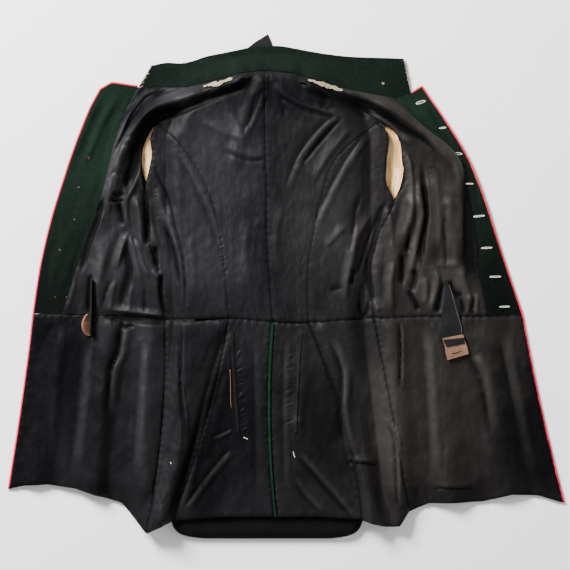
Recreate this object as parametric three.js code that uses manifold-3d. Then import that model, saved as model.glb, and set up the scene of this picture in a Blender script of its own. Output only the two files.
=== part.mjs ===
// Military tunic, unbuttoned and laid open on its back, lining side up, with its sleeves folded underneath.
// Its back lies on a low, padded display form; everything else lies on the surface.
// Millimetres, +Z up. The origin is on the surface, under the middle of the spread garment.
// +Y runs to the collar.
// "R" and "L" are the wearer's right and left, so R lies at -X.
import * as THREE from "three";
import Module from "manifold-3d";
import { mergeVertices } from "three/addons/utils/BufferGeometryUtils.js";

// Cloth walls and the room between them
const WOOL = 2.2;
const FACING = 1.8;
const LINING = 1.2;
const LAYER_GAP = 0.6;
const SEAM_INSET = 0.2;

// Heights of what lies under the cloth
const FORM_HEIGHT = 18;
const SLEEVE_HEIGHT = 8.2;
const BUTTON_HEIGHT = 8;
const BUTTON_RADIUS = 10;

// Colours and finishes
const wool = new THREE.MeshStandardMaterial({ color: 0x1b3226, roughness: 0.95 });
const satin = new THREE.MeshStandardMaterial({ color: 0x26262a, roughness: 0.45 });
const cream = new THREE.MeshStandardMaterial({ color: 0xe8c99a, roughness: 0.7 });
const scarlet = new THREE.MeshStandardMaterial({ color: 0xc9263c, roughness: 0.85 });
const tape = new THREE.MeshStandardMaterial({ color: 0x17171a, roughness: 0.8 });
const leather = new THREE.MeshStandardMaterial({ color: 0x9a6a4c, roughness: 0.6 });
const gilt = new THREE.MeshStandardMaterial({ color: 0xb08a3e, roughness: 0.35, metalness: 1 });
const velvet = new THREE.MeshStandardMaterial({ color: 0x121216, roughness: 0.9 });

// Lines that run up the garment. Below the waist each has an x at the hem, at mid skirt and at the waist.
const SKIRT_LINES = {
  edgeR: { hem: -472, mid: -449, waist: -429 },
  buttonR: { hem: -446, mid: -426, waist: -409 },
  facingR: { hem: -407, mid: -390, waist: -381 },
  chestR: { hem: -317, mid: -300, waist: -291 },
  sideR: { hem: -237, mid: -211, waist: -206 },
  princessR: { hem: -194, mid: -135, waist: -97 },
  centre: { hem: -18, mid: -29, waist: -23 },
  princessL: { hem: 129, mid: 96, waist: 37 },
  sideL: { hem: 209, mid: 180, waist: 149 },
  chestL: { hem: 287, mid: 277, waist: 258 },
  facingL: { hem: 384, mid: 368, waist: 343 },
  buttonL: { hem: 433, mid: 402, waist: 373 },
  edgeL: { hem: 472, mid: 433, waist: 401 },
};

// The hem and the waist seam, from the right front edge to the left one
const HEM = [
  [-473, -346],
  [-446, -340],
  [-407, -338],
  [-359, -345],
  [-317, -358],
  [-281, -369],
  [-259, -394],
  [-237, -420],
  [-194, -399],
  [-106, -392],
  [-18, -392],
  [57, -392],
  [129, -397],
  [168, -409],
  [193, -408],
  [209, -384],
  [244, -370],
  [287, -369],
  [336, -367],
  [384, -355],
  [431, -357],
  [470, -369],
];
const WAIST = [
  [-431, -47],
  [-315, -47],
  [-279, -51],
  [-206, -57],
  [-179, -61],
  [-147, -59],
  [-97, -54],
  [-60, -57],
  [-21, -61],
  [22, -63],
  [73, -59],
  [149, -54],
  [227, -51],
  [341, -51],
  [401, -49],
];

// Above the waist each line has a point at five levels of the body and one at the neck seam
const BODY_LINES = {
  edgeR: {
    rib: [-417, 31], chest: [-400, 106], underarm: [-381, 169],
    blade: [-359, 235], shoulder: [-335, 296], neck: [-315, 334],
  },
  buttonR: {
    rib: [-393, 29], chest: [-375, 102], underarm: [-356, 164],
    blade: [-334, 230], shoulder: [-313, 296], neck: [-296, 345],
  },
  facingR: {
    rib: [-358, 26], chest: [-334, 94], underarm: [-315, 150],
    blade: [-298, 218], shoulder: [-281, 283], neck: [-252, 339],
  },
  chestR: {
    rib: [-286, 19], chest: [-279, 82], underarm: [-276, 143],
    blade: [-264, 206], shoulder: [-244, 271], neck: [-167, 339],
  },
  sideR: {
    rib: [-215, 21], chest: [-235, 84], underarm: [-240, 160],
    blade: [-230, 218], shoulder: [-216, 276], neck: [-69, 362],
  },
  princessR: {
    rib: [-104, 22], chest: [-111, 82], underarm: [-128, 150],
    blade: [-164, 220], shoulder: [-222, 283], neck: [-269, 347],
  },
  centre: {
    rib: [-29, 24], chest: [-33, 92], underarm: [-33, 160],
    blade: [-35, 228], shoulder: [-36, 303], neck: [-36, 366],
  },
  princessL: {
    rib: [37, 22], chest: [45, 82], underarm: [59, 147],
    blade: [86, 218], shoulder: [164, 286], neck: [227, 351],
  },
  sideL: {
    rib: [142, 21], chest: [154, 82], underarm: [183, 143],
    blade: [181, 211], shoulder: [158, 279], neck: [13, 361],
  },
  chestL: {
    rib: [251, 19], chest: [253, 82], underarm: [251, 141],
    blade: [237, 211], shoulder: [193, 277], neck: [112, 332],
  },
  facingL: {
    rib: [329, 22], chest: [324, 85], underarm: [314, 141],
    blade: [294, 218], shoulder: [229, 274], neck: [186, 320],
  },
  buttonL: {
    rib: [355, 22], chest: [341, 85], underarm: [326, 145],
    blade: [302, 216], shoulder: [258, 272], neck: [214, 328],
  },
  edgeL: {
    rib: [377, 22], chest: [356, 85], underarm: [336, 147],
    blade: [309, 215], shoulder: [273, 276], neck: [231, 339],
  },
};
const LEVELS = ["rib", "chest", "underarm", "blade", "shoulder", "neck"];
const WAIST_LEVEL = 1;
const SHOULDER_LEVEL = 6;

// The side back ends in a point at the armhole. From the shoulder up the back begins at the side line.
const MEETS_AT_SHOULDER = { princessR: "sideR", princessL: "sideL" };

// How far each armhole gapes at a level, to the front's side and to the back's
const ARMHOLES = {
  sideR: [
    { level: 4, front: 0, back: 0 },
    { level: 4.5, front: 10, back: 1 },
    { level: 5, front: 16, back: 1 },
    { level: 5.5, front: 14, back: 1 },
    { level: 5.88, front: 5, back: 0.5 },
    { level: SHOULDER_LEVEL, front: 0, back: 0 },
  ],
  sideL: [
    { level: 4, front: 0, back: 0 },
    { level: 4.5, front: 15, back: 15 },
    { level: 5, front: 16, back: 10 },
    { level: 5.5, front: 15, back: 4 },
    { level: 5.88, front: 10, back: 0.5 },
    { level: SHOULDER_LEVEL, front: 0, back: 0 },
  ],
};

// Rows of points from hem to neck, as levels
const SKIRT_ROWS = [0, 1 / 6, 2 / 6, 3 / 6, 4 / 6, 5 / 6, 1];
const BODY_ROWS = [1, 1.5, 2, 3, 4, 4.5, 5, 5.5, 5.88, SHOULDER_LEVEL, 6.5, 7];
const SIDE_BACK_ROWS = BODY_ROWS.filter((level) => level < SHOULDER_LEVEL);

// The three stretches of cloth between the side seams, with the number of columns between their lines
const STRETCHES = {
  frontR: { lines: ["edgeR", "buttonR", "facingR", "chestR", "sideR"], columns: [1, 2, 3, 3], side: "front" },
  back: {
    lines: ["sideR", "princessR", "centre", "princessL", "sideL"],
    columns: [4, 4, 4, 4],
    side: "back",
  },
  frontL: { lines: ["sideL", "chestL", "facingL", "buttonL", "edgeL"], columns: [3, 3, 2, 1], side: "front" },
};

// The padded form under the back: half widths about its own middle line, from its lower end to its neck
const FORM_MIDDLE = -33;
const FORM_OUTLINE = [
  { y: -430, half: 112, top: 5 },
  { y: -426, half: 138, top: 11 },
  { y: -418, half: 154, top: 15 },
  { y: -404, half: 162, top: 17 },
  { y: -380, half: 163, top: 18 },
  { y: -261, half: 150, top: 18 },
  { y: -57, half: 122, top: 18 },
  { y: 147, half: 136, top: 18 },
  { y: 249, half: 138, top: 18 },
  { y: 286, half: 116, top: 18 },
  { y: 313, half: 76, top: 16 },
  { y: 330, half: 46, top: 12 },
  { y: 339, half: 34, top: 6 },
];
const FORM_EDGE_RADIUS = 15;
const FORM_EDGE_STEPS = 4;
const CLOTH_CLEARANCE = 1.2;

// Sleeves folded down under the fronts: the two edges of each, from the armhole to the wrist
const SLEEVES = {
  R: [
    { inner: [-228, 158], outer: [-220, 279] },
    { inner: [-233, 130], outer: [-278, 271] },
    { inner: [-228, 97], outer: [-315, 238] },
    { inner: [-218, 51], outer: [-341, 174] },
    { inner: [-215, -10], outer: [-359, 87] },
    { inner: [-213, -78], outer: [-371, -6] },
    { inner: [-213, -146], outer: [-371, -100] },
    { inner: [-215, -214], outer: [-371, -185] },
    { inner: [-220, -272], outer: [-366, -255] },
    { inner: [-227, -326], outer: [-361, -312] },
  ],
  L: [
    { inner: [180, 141], outer: [173, 283] },
    { inner: [188, 113], outer: [224, 271] },
    { inner: [183, 80], outer: [258, 232] },
    { inner: [175, 38], outer: [290, 164] },
    { inner: [171, -20], outer: [312, 82] },
    { inner: [171, -85], outer: [326, -10] },
    { inner: [175, -151], outer: [331, -100] },
    { inner: [180, -214], outer: [331, -185] },
    { inner: [186, -272], outer: [329, -255] },
    { inner: [195, -326], outer: [326, -312] },
  ],
};
// How far the upper and the lower wall of each sleeve are drawn aside at its mouth
const MOUTHS = { R: { top: -22, bottom: 6 }, L: { top: 24, bottom: -14 } };
const CUFF_FROM = 8;
const SLEEVE_LINING_TO = 3;
const SLEEVE_SHELF = 12;
const FORM_SHELF = 10;
const DRAPE_RUN = 42;

// Buttons on the wearer's right, under the cloth, and buttonholes on the left
const BUTTONS = 8;
const BUTTON_FROM_EDGE = 24;
const BUTTON_LEVELS = { first: 1.12, last: 6.55 };
const BUTTONHOLES = [
  { at: [229, 313], length: 18, gape: 4.5, turn: 18 },
  { at: [266, 269], length: 12, gape: 3, turn: 8 },
  { at: [292, 225], length: 16, gape: 4, turn: 0 },
  { at: [312, 174], length: 14, gape: 2, turn: 0 },
  { at: [328, 119], length: 22, gape: 3, turn: 6 },
  { at: [341, 65], length: 21, gape: 3, turn: 3 },
  { at: [356, 16], length: 22, gape: 3, turn: 2 },
  { at: [372, -35], length: 19, gape: 2.4, turn: 2 },
];

// Folds, each along a path. Both layers follow a deep fold and the lining alone a soft one.
// height and half are given at the start and end of the path.
// lean moves the crest's steep side to its left (+1) or right (-1).
const DEEP_FOLDS = [
  {
    path: [[-296, -74], [-310, -193], [-322, -350]],
    height: [5, 13], half: [34, 44], lean: 1,
  },
  {
    path: [[-232, -74], [-235, -244], [-237, -414]],
    height: [5, 20], half: [30, 40], lean: 0,
  },
  {
    path: [[-109, -74], [-154, -227], [-205, -394]],
    height: [4, 17], half: [26, 34], lean: 1,
  },
  {
    path: [[61, -74], [108, -227], [146, -397]],
    height: [4, 17], half: [26, 34], lean: -1,
  },
  {
    path: [[180, -74], [190, -244], [190, -404]],
    height: [5, 18], half: [30, 38], lean: 0,
  },
  {
    path: [[261, -83], [271, -227], [282, -367]],
    height: [4, 13], half: [38, 46], lean: 0,
  },
  {
    path: [[338, -91], [360, -227], [377, -353]],
    height: [3, 9], half: [34, 44], lean: 0,
  },
  {
    path: [[-385, -91], [-409, -227], [-426, -336]],
    height: [2, 8], half: [30, 36], lean: 0,
  },
  {
    path: [[-296, 147], [-283, 215], [-262, 259], [-222, 303], [-164, 325], [-82, 347]],
    height: [4, 14], half: [32, 30], lean: -1,
  },
  {
    path: [[288, 164], [271, 215], [241, 254], [193, 291], [125, 317], [44, 339]],
    height: [4, 14], half: [32, 30], lean: 1,
  },
];
const SOFT_FOLDS = [
  {
    path: [[-286, 138], [-273, 223], [-232, 294], [-155, 322]],
    height: [4, 7], half: [18, 18], lean: 0,
  },
  {
    path: [[-249, 138], [-232, 53], [-208, -34]],
    height: [6, 4], half: [20, 20], lean: 0,
  },
  {
    path: [[-198, 121], [-177, 45], [-164, -32]],
    height: [4, 2], half: [20, 22], lean: 0,
  },
  {
    path: [[214, 138], [190, 62], [173, -34]],
    height: [6, 4], half: [20, 20], lean: 0,
  },
  {
    path: [[236, 164], [241, 79], [227, -23]],
    height: [6, 4], half: [22, 24], lean: 0,
  },
  {
    path: [[278, 138], [288, 62], [299, -23]],
    height: [5, 4], half: [18, 20], lean: 0,
  },
  {
    path: [[-317, 113], [-317, 41], [-310, -30]],
    height: [4, 5], half: [22, 26], lean: 0,
  },
  {
    path: [[-41, 344], [-69, 283], [-86, 215]],
    height: [3, 2], half: [16, 24], lean: 0,
  },
  {
    path: [[-11, 334], [23, 296], [100, 269]],
    height: [3, 2], half: [16, 22], lean: 0,
  },
  {
    path: [[-138, -278], [-109, -193], [-92, -91]],
    height: [3, 2], half: [16, 16], lean: 0,
  },
  {
    path: [[100, -363], [57, -295], [20, -236]],
    height: [4, 3], half: [18, 18], lean: 0,
  },
  {
    path: [[23, -227], [30, -159], [27, -83]],
    height: [3, 2], half: [14, 14], lean: 0,
  },
];

const clamp = (v, low, high) => Math.min(high, Math.max(low, v));
const lerp = (a, b, t) => a + (b - a) * t;
const smooth = (t) => t * t * (3 - 2 * t);
const lerpPoint = (a, b, t) => [lerp(a[0], b[0], t), lerp(a[1], b[1], t)];

// A smooth curve through points, with t counted in points
function through(points, t) {
  const i = clamp(Math.floor(t), 0, points.length - 2);
  const f = t - i;
  const p = (k) => points[clamp(k, 0, points.length - 1)];
  return [0, 1].map((axis) => {
    const [a, b, c, d] = [p(i - 1)[axis], p(i)[axis], p(i + 1)[axis], p(i + 2)[axis]];
    const squared = 2 * a - 5 * b + 4 * c - d;
    const cubed = 3 * b - a - 3 * c + d;
    return 0.5 * (2 * b + (c - a) * f + squared * f ** 2 + cubed * f ** 3);
  });
}

// The height in plan of a seam that runs across the garment, at one x
function seamY(seam, x) {
  const last = seam.length - 2;
  const i = clamp(seam.findIndex((p) => p[0] > x) - 1, 0, last);
  const k = x >= seam[seam.length - 1][0] ? last : i;
  const [a, b] = [seam[k], seam[k + 1]];
  return lerp(a[1], b[1], clamp((x - a[0]) / (b[0] - a[0]), 0, 1));
}

// A line's x below the waist: a parabola through its hem, mid skirt and waist
function skirtX({ hem, mid, waist }, level) {
  return (2 * (hem + waist) - 4 * mid) * level * level + (4 * mid - 3 * hem - waist) * level + hem;
}

// A skirt point between two lines. Rows bend with the hem below and the waist seam above.
function skirtPoint(a, b, t, level) {
  const hemX = lerp(a.hem, b.hem, t);
  const waistX = lerp(a.waist, b.waist, t);
  const x = lerp(skirtX(a, level), skirtX(b, level), t);
  return [x, lerp(seamY(HEM, hemX), seamY(WAIST, waistX), level)];
}

// How far a line gives way to its armhole at a level, along X
function gapeAt(name, level, side) {
  const rows = ARMHOLES[name];
  if (!rows || !side || level < rows[0].level || level >= SHOULDER_LEVEL) return 0;
  const i = clamp(rows.findIndex((row) => row.level > level) - 1, 0, rows.length - 2);
  const [a, b] = [rows[i], rows[i + 1]];
  const by = lerp(a[side], b[side], clamp((level - a.level) / (b.level - a.level), 0, 1));
  const outward = name === "sideR" ? -1 : 1;
  return side === "front" ? outward * by : -outward * by;
}

// A body line's point at a level. side says which side of an armhole a side line follows.
function bodyPoint(name, level, side) {
  const line = level >= SHOULDER_LEVEL ? MEETS_AT_SHOULDER[name] || name : name;
  const waist = SKIRT_LINES[line].waist;
  const points = [[waist, seamY(WAIST, waist)], ...LEVELS.map((l) => BODY_LINES[line][l])];
  const [x, y] = through(points, level - WAIST_LEVEL);
  return [x + gapeAt(line, level, side), y];
}

// A point in plan between two lines, at a level. The waist row is one for skirt and body.
function planPoint(nameA, nameB, t, level, side) {
  if (level <= WAIST_LEVEL) return skirtPoint(SKIRT_LINES[nameA], SKIRT_LINES[nameB], t, level);
  return lerpPoint(bodyPoint(nameA, level, side), bodyPoint(nameB, level, side), t);
}
const linePoint = (name, level) => planPoint(name, name, 0, level);

// Signed distance in plan from a point to a closed outline, above zero inside
function depthInside(outline, x, y) {
  let nearest = Infinity;
  let inside = false;
  outline.forEach(([ax, ay], i) => {
    const [bx, by] = outline[(i + 1) % outline.length];
    const t = clamp(((x - ax) * (bx - ax) + (y - ay) * (by - ay)) / ((bx - ax) ** 2 + (by - ay) ** 2), 0, 1);
    nearest = Math.min(nearest, Math.hypot(x - lerp(ax, bx, t), y - lerp(ay, by, t)));
    if (ay > y !== by > y && x < ax + ((y - ay) * (bx - ax)) / (by - ay)) inside = !inside;
  });
  return inside ? nearest : -nearest;
}

const formOutline = [
  ...FORM_OUTLINE.map(({ y, half }) => [FORM_MIDDLE + half, y]),
  ...[...FORM_OUTLINE].reverse().map(({ y, half }) => [FORM_MIDDLE - half, y]),
];
const sleeveOutline = (rows) => [...rows.map((r) => r.inner), ...[...rows].reverse().map((r) => r.outer)];

// 1 over a thing and a shelf around it, falling to 0 over a run
const drape = (depth, shelf, run) => smooth(clamp((depth + shelf + run) / run, 0, 1));

const STEEP_SHARE = 0.55;

// A fold's height at a point: its crest along the path, and a soft fall to nothing on each side
function foldHeight({ path, height, half, lean }, x, y) {
  let best = { distance: Infinity };
  path.slice(1).forEach((b, i) => {
    const a = path[i];
    const [dx, dy] = [b[0] - a[0], b[1] - a[1]];
    const t = clamp(((x - a[0]) * dx + (y - a[1]) * dy) / (dx * dx + dy * dy), 0, 1);
    const [ox, oy] = [x - a[0] - dx * t, y - a[1] - dy * t];
    const distance = Math.hypot(ox, oy);
    if (distance < best.distance) {
      best = { distance, side: Math.sign(dx * oy - dy * ox), along: (i + t) / (path.length - 1) };
    }
  });
  const reach = lerp(half[0], half[1], best.along) * (best.side * lean > 0 ? STEEP_SHARE : 1);
  if (best.distance >= reach) return 0;
  return lerp(height[0], height[1], best.along) * smooth(1 - best.distance / reach);
}

const buttonLine = [];
for (let i = 0; i < BUTTONS; i += 1) {
  const level = lerp(BUTTON_LEVELS.first, BUTTON_LEVELS.last, i / (BUTTONS - 1));
  const [x, y] = linePoint("edgeR", level);
  buttonLine.push([x + BUTTON_FROM_EDGE, y]);
}

// Cloth over the buttons: a flat-topped fold along them
const BUTTON_ROOM = BUTTON_HEIGHT + 0.5;
const OVER_BUTTONS = {
  path: buttonLine,
  height: [1.3 * BUTTON_ROOM, 1.3 * BUTTON_ROOM],
  half: [70, 70],
  lean: 0,
};

// What lifts the underside of the cloth off the surface
function liftAt(x, y) {
  const onForm = drape(depthInside(formOutline, x, y), FORM_SHELF, DRAPE_RUN);
  const overForm = (FORM_HEIGHT + CLOTH_CLEARANCE) * onForm;
  const overSleeves = Object.values(SLEEVES).map((rows) => {
    const depth = depthInside(sleeveOutline(rows), x, y);
    return (SLEEVE_HEIGHT + CLOTH_CLEARANCE) * drape(depth, SLEEVE_SHELF, DRAPE_RUN);
  });
  const overButtons = foldHeight(OVER_BUTTONS, x, y);
  const folds = DEEP_FOLDS.reduce((sum, fold) => sum + foldHeight(fold, x, y), 0);
  return Math.max(overForm, ...overSleeves, Math.min(overButtons, BUTTON_ROOM)) + folds;
}

const puffAt = (x, y) => SOFT_FOLDS.reduce((sum, fold) => sum + foldHeight(fold, x, y), 0);

// A closed mesh, turned so that its faces point out
function closedMesh(vertices, faces) {
  const volume = faces.reduce((sum, [a, b, c]) => {
    const [p, q, r] = [a, b, c].map((i) => new THREE.Vector3(...vertices[i]));
    return sum + p.dot(q.cross(r));
  }, 0);
  const geometry = new THREE.BufferGeometry();
  geometry.setAttribute("position", new THREE.Float32BufferAttribute(vertices.flat(), 3));
  geometry.setIndex(faces.flatMap(([a, b, c]) => (volume > 0 ? [a, b, c] : [a, c, b])));
  geometry.computeVertexNormals();
  return geometry;
}

// A wall of cloth between an under grid and an over grid of points
function clothWall(under, over) {
  const [rows, columns] = [under.length, under[0].length];
  const at = (side, j, i) => side * rows * columns + j * columns + i;
  const faces = [];
  const quad = (a, b, c, d) => faces.push([a, b, c], [a, c, d]);
  for (let j = 0; j + 1 < rows; j += 1) {
    for (let i = 0; i + 1 < columns; i += 1) {
      quad(at(1, j, i), at(1, j, i + 1), at(1, j + 1, i + 1), at(1, j + 1, i));
      faces.push([at(0, j, i), at(0, j + 1, i + 1), at(0, j, i + 1)]);
      faces.push([at(0, j, i), at(0, j + 1, i), at(0, j + 1, i + 1)]);
    }
  }
  for (let i = 0; i + 1 < columns; i += 1) {
    quad(at(0, 0, i), at(0, 0, i + 1), at(1, 0, i + 1), at(1, 0, i));
    quad(at(0, rows - 1, i + 1), at(0, rows - 1, i), at(1, rows - 1, i), at(1, rows - 1, i + 1));
  }
  for (let j = 0; j + 1 < rows; j += 1) {
    quad(at(0, j + 1, 0), at(0, j, 0), at(1, j, 0), at(1, j + 1, 0));
    quad(at(0, j, columns - 1), at(0, j + 1, columns - 1), at(1, j + 1, columns - 1), at(1, j, columns - 1));
  }
  return closedMesh([...under.flat(), ...over.flat()], faces);
}

// A solid through closed rings of points, with flat ends
function throughRings(rings) {
  const n = rings[0].length;
  const faces = [];
  for (let j = 0; j + 1 < rings.length; j += 1) {
    for (let i = 0; i < n; i += 1) {
      const [a, b, c, d] = [j * n + i, j * n + ((i + 1) % n), (j + 1) * n + ((i + 1) % n), (j + 1) * n + i];
      faces.push([a, b, c], [a, c, d]);
    }
  }
  const top = (rings.length - 1) * n;
  for (let i = 1; i + 1 < n; i += 1) {
    faces.push([0, i + 1, i], [top, top + i, top + i + 1]);
  }
  return closedMesh(rings.flat(), faces);
}

// A hollow tube between outer and inner rings, open at both ends.
// Its four-sided faces are split along their shorter diagonal.
function hollowTube(outer, inner, guide = outer) {
  const n = outer[0].length;
  const shift = outer.length * n;
  const vertices = [...outer.flat(), ...inner.flat()];
  const guides = guide.flat();
  const apart = (points, a, b) => Math.hypot(...points[a].map((v, axis) => v - points[b][axis]));
  const faces = [];
  const quad = (a, b, c, d, across = apart(vertices, a, c) <= apart(vertices, b, d)) => {
    if (across) faces.push([a, b, c], [a, c, d]);
    else faces.push([a, b, d], [b, c, d]);
  };
  for (let i = 0; i < n; i += 1) {
    const k = (i + 1) % n;
    for (let j = 0; j + 1 < outer.length; j += 1) {
      const [a, b, c, d] = [j * n + i, j * n + k, (j + 1) * n + k, (j + 1) * n + i];
      const across = apart(guides, a, c) <= apart(guides, b, d);
      quad(a, b, c, d, across);
      quad(shift + b, shift + a, shift + d, shift + c, !across);
    }
    const last = (outer.length - 1) * n;
    quad(k, i, shift + i, shift + k);
    quad(last + i, last + k, shift + last + k, shift + last + i);
  }
  return closedMesh(vertices, faces);
}

// A panel's points in plan: columns between two lines of a stretch, on rows between two levels
function panelPlan({ on, from, to, rows }, inset = {}) {
  const { lines, columns, side } = STRETCHES[on];
  const [first, last] = [lines.indexOf(from), lines.indexOf(to)];
  const grid = rows.map((level) => {
    const row = [];
    for (let k = first; k < last; k += 1) {
      const steps = k === last - 1 ? columns[k] + 1 : columns[k];
      for (let c = 0; c < steps; c += 1) {
        row.push(planPoint(lines[k], lines[k + 1], c / columns[k], level, side));
      }
    }
    return row;
  });
  const towards = (p, q, by) => lerpPoint(p, q, by / Math.hypot(q[0] - p[0], q[1] - p[1]));
  const { low = SEAM_INSET, high = SEAM_INSET, start = SEAM_INSET, end = SEAM_INSET } = inset;
  const lastColumn = grid[0].length - 1;
  const lastRow = grid.length - 1;
  const narrowed = grid.map((row) => {
    const ends = [towards(row[0], row[1], start), towards(row[lastColumn], row[lastColumn - 1], end)];
    return [ends[0], ...row.slice(1, lastColumn), ends[1]];
  });
  const bottom = narrowed[0].map((p, i) => towards(p, narrowed[1][i], low));
  const top = narrowed[lastRow].map((p, i) => towards(p, narrowed[lastRow - 1][i], high));
  return [bottom, ...narrowed.slice(1, lastRow), top];
}

const raise = (plan, height) => plan.map((row) => row.map(([x, y]) => [x, y, height(x, y)]));
const shellOver = (x, y) => liftAt(x, y) + WOOL;
const innerUnder = (x, y) => shellOver(x, y) + LAYER_GAP + puffAt(x, y);

const tunic = new THREE.Group();
const upperSides = {};
function add(name, geometry, material) {
  const mesh = new THREE.Mesh(geometry, material);
  mesh.name = name;
  tunic.add(mesh);
  return mesh;
}

// Outer shell: wool panels, face down
const PANELS = [
  { name: "front_R", on: "frontR", from: "edgeR", to: "sideR", rows: BODY_ROWS },
  { name: "side_back_R", on: "back", from: "sideR", to: "princessR", rows: SIDE_BACK_ROWS },
  { name: "back_R", on: "back", from: "princessR", to: "centre", rows: BODY_ROWS },
  { name: "back_L", on: "back", from: "centre", to: "princessL", rows: BODY_ROWS },
  { name: "side_back_L", on: "back", from: "princessL", to: "sideL", rows: SIDE_BACK_ROWS },
  { name: "front_L", on: "frontL", from: "sideL", to: "edgeL", rows: BODY_ROWS },
  { name: "front_skirt_R", on: "frontR", from: "edgeR", to: "sideR", rows: SKIRT_ROWS },
  { name: "side_skirt_R", on: "back", from: "sideR", to: "princessR", rows: SKIRT_ROWS },
  { name: "tail_R", on: "back", from: "princessR", to: "centre", rows: SKIRT_ROWS },
  { name: "tail_L", on: "back", from: "centre", to: "princessL", rows: SKIRT_ROWS },
  { name: "side_skirt_L", on: "back", from: "princessL", to: "sideL", rows: SKIRT_ROWS },
  { name: "front_skirt_L", on: "frontL", from: "sideL", to: "edgeL", rows: SKIRT_ROWS },
];
const shellWalls = {};
const shellLowerSides = {};
for (const panel of PANELS) {
  const plan = panelPlan(panel);
  shellLowerSides[panel.name] = raise(plan, liftAt);
  shellWalls[panel.name] = clothWall(shellLowerSides[panel.name], raise(plan, shellOver));
}

// Linings and facings, on the shell's own points. The tails' linings stop short of the vent and the hem.
const VENT_HALF = 2.2;
const VENT_CLEAR = VENT_HALF + 0.4;
const TAIL_HEM_SHOWS = 3;
const EDGE_SHOWS = 1;
const FACING_CLOTH = { thickness: FACING, material: wool };
const LINING_CLOTH = { thickness: LINING, material: satin };
const INSETS = {
  facing_R: { start: EDGE_SHOWS },
  facing_L: { end: EDGE_SHOWS },
  front_skirt_lining_R: { start: EDGE_SHOWS, low: EDGE_SHOWS },
  side_skirt_lining_R: { low: EDGE_SHOWS },
  tail_lining_R: { low: TAIL_HEM_SHOWS, end: VENT_CLEAR },
  tail_lining_L: { low: TAIL_HEM_SHOWS, start: VENT_CLEAR },
  side_skirt_lining_L: { low: EDGE_SHOWS },
  front_skirt_lining_L: { end: EDGE_SHOWS, low: EDGE_SHOWS },
};
const INNER_PANELS = [
  { name: "facing_R", on: "frontR", from: "edgeR", to: "facingR", rows: BODY_ROWS },
  { name: "front_lining_R", on: "frontR", from: "facingR", to: "sideR", rows: BODY_ROWS },
  { name: "side_back_lining_R", on: "back", from: "sideR", to: "princessR", rows: SIDE_BACK_ROWS },
  { name: "back_lining_R", on: "back", from: "princessR", to: "centre", rows: BODY_ROWS },
  { name: "back_lining_L", on: "back", from: "centre", to: "princessL", rows: BODY_ROWS },
  { name: "side_back_lining_L", on: "back", from: "princessL", to: "sideL", rows: SIDE_BACK_ROWS },
  { name: "front_lining_L", on: "frontL", from: "sideL", to: "facingL", rows: BODY_ROWS },
  { name: "facing_L", on: "frontL", from: "facingL", to: "edgeL", rows: BODY_ROWS },
  { name: "front_skirt_lining_R", on: "frontR", from: "edgeR", to: "sideR", rows: SKIRT_ROWS },
  { name: "side_skirt_lining_R", on: "back", from: "sideR", to: "princessR", rows: SKIRT_ROWS },
  { name: "tail_lining_R", on: "back", from: "princessR", to: "centre", rows: SKIRT_ROWS },
  { name: "tail_lining_L", on: "back", from: "centre", to: "princessL", rows: SKIRT_ROWS },
  { name: "side_skirt_lining_L", on: "back", from: "princessL", to: "sideL", rows: SKIRT_ROWS },
  { name: "front_skirt_lining_L", on: "frontL", from: "sideL", to: "edgeL", rows: SKIRT_ROWS },
];
const thicker = (grid, by) => grid.map((row) => row.map(([x, y, z]) => [x, y, z + by]));
const innerWalls = {};
for (const panel of INNER_PANELS) {
  const { thickness, material } = panel.name.startsWith("facing") ? FACING_CLOTH : LINING_CLOTH;
  const under = raise(panelPlan(panel, INSETS[panel.name]), innerUnder);
  const over = thicker(under, thickness);
  upperSides[panel.name] = over;
  innerWalls[panel.name] = { geometry: clothWall(under, over), material };
}

// The height of a grid of points at one place in plan, on the grid's own triangles
function heightOn(grid, x, y) {
  let found = -Infinity;
  for (let j = 0; j + 1 < grid.length; j += 1) {
    for (let i = 0; i + 1 < grid[0].length; i += 1) {
      const [a, b, c, d] = [grid[j][i], grid[j][i + 1], grid[j + 1][i + 1], grid[j + 1][i]];
      for (const [p, q, r] of [
        [a, b, c],
        [a, c, d],
      ]) {
        const area = (q[0] - p[0]) * (r[1] - p[1]) - (r[0] - p[0]) * (q[1] - p[1]);
        const s = ((x - p[0]) * (r[1] - p[1]) - (r[0] - p[0]) * (y - p[1])) / area;
        const t = ((q[0] - p[0]) * (y - p[1]) - (x - p[0]) * (q[1] - p[1])) / area;
        if (s >= 0 && t >= 0 && s + t <= 1) {
          found = Math.max(found, p[2] + s * (q[2] - p[2]) + t * (r[2] - p[2]));
        }
      }
    }
  }
  return found;
}
const heightOverPanels = (names, x, y) => Math.max(...names.map((name) => heightOn(upperSides[name], x, y)));

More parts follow.
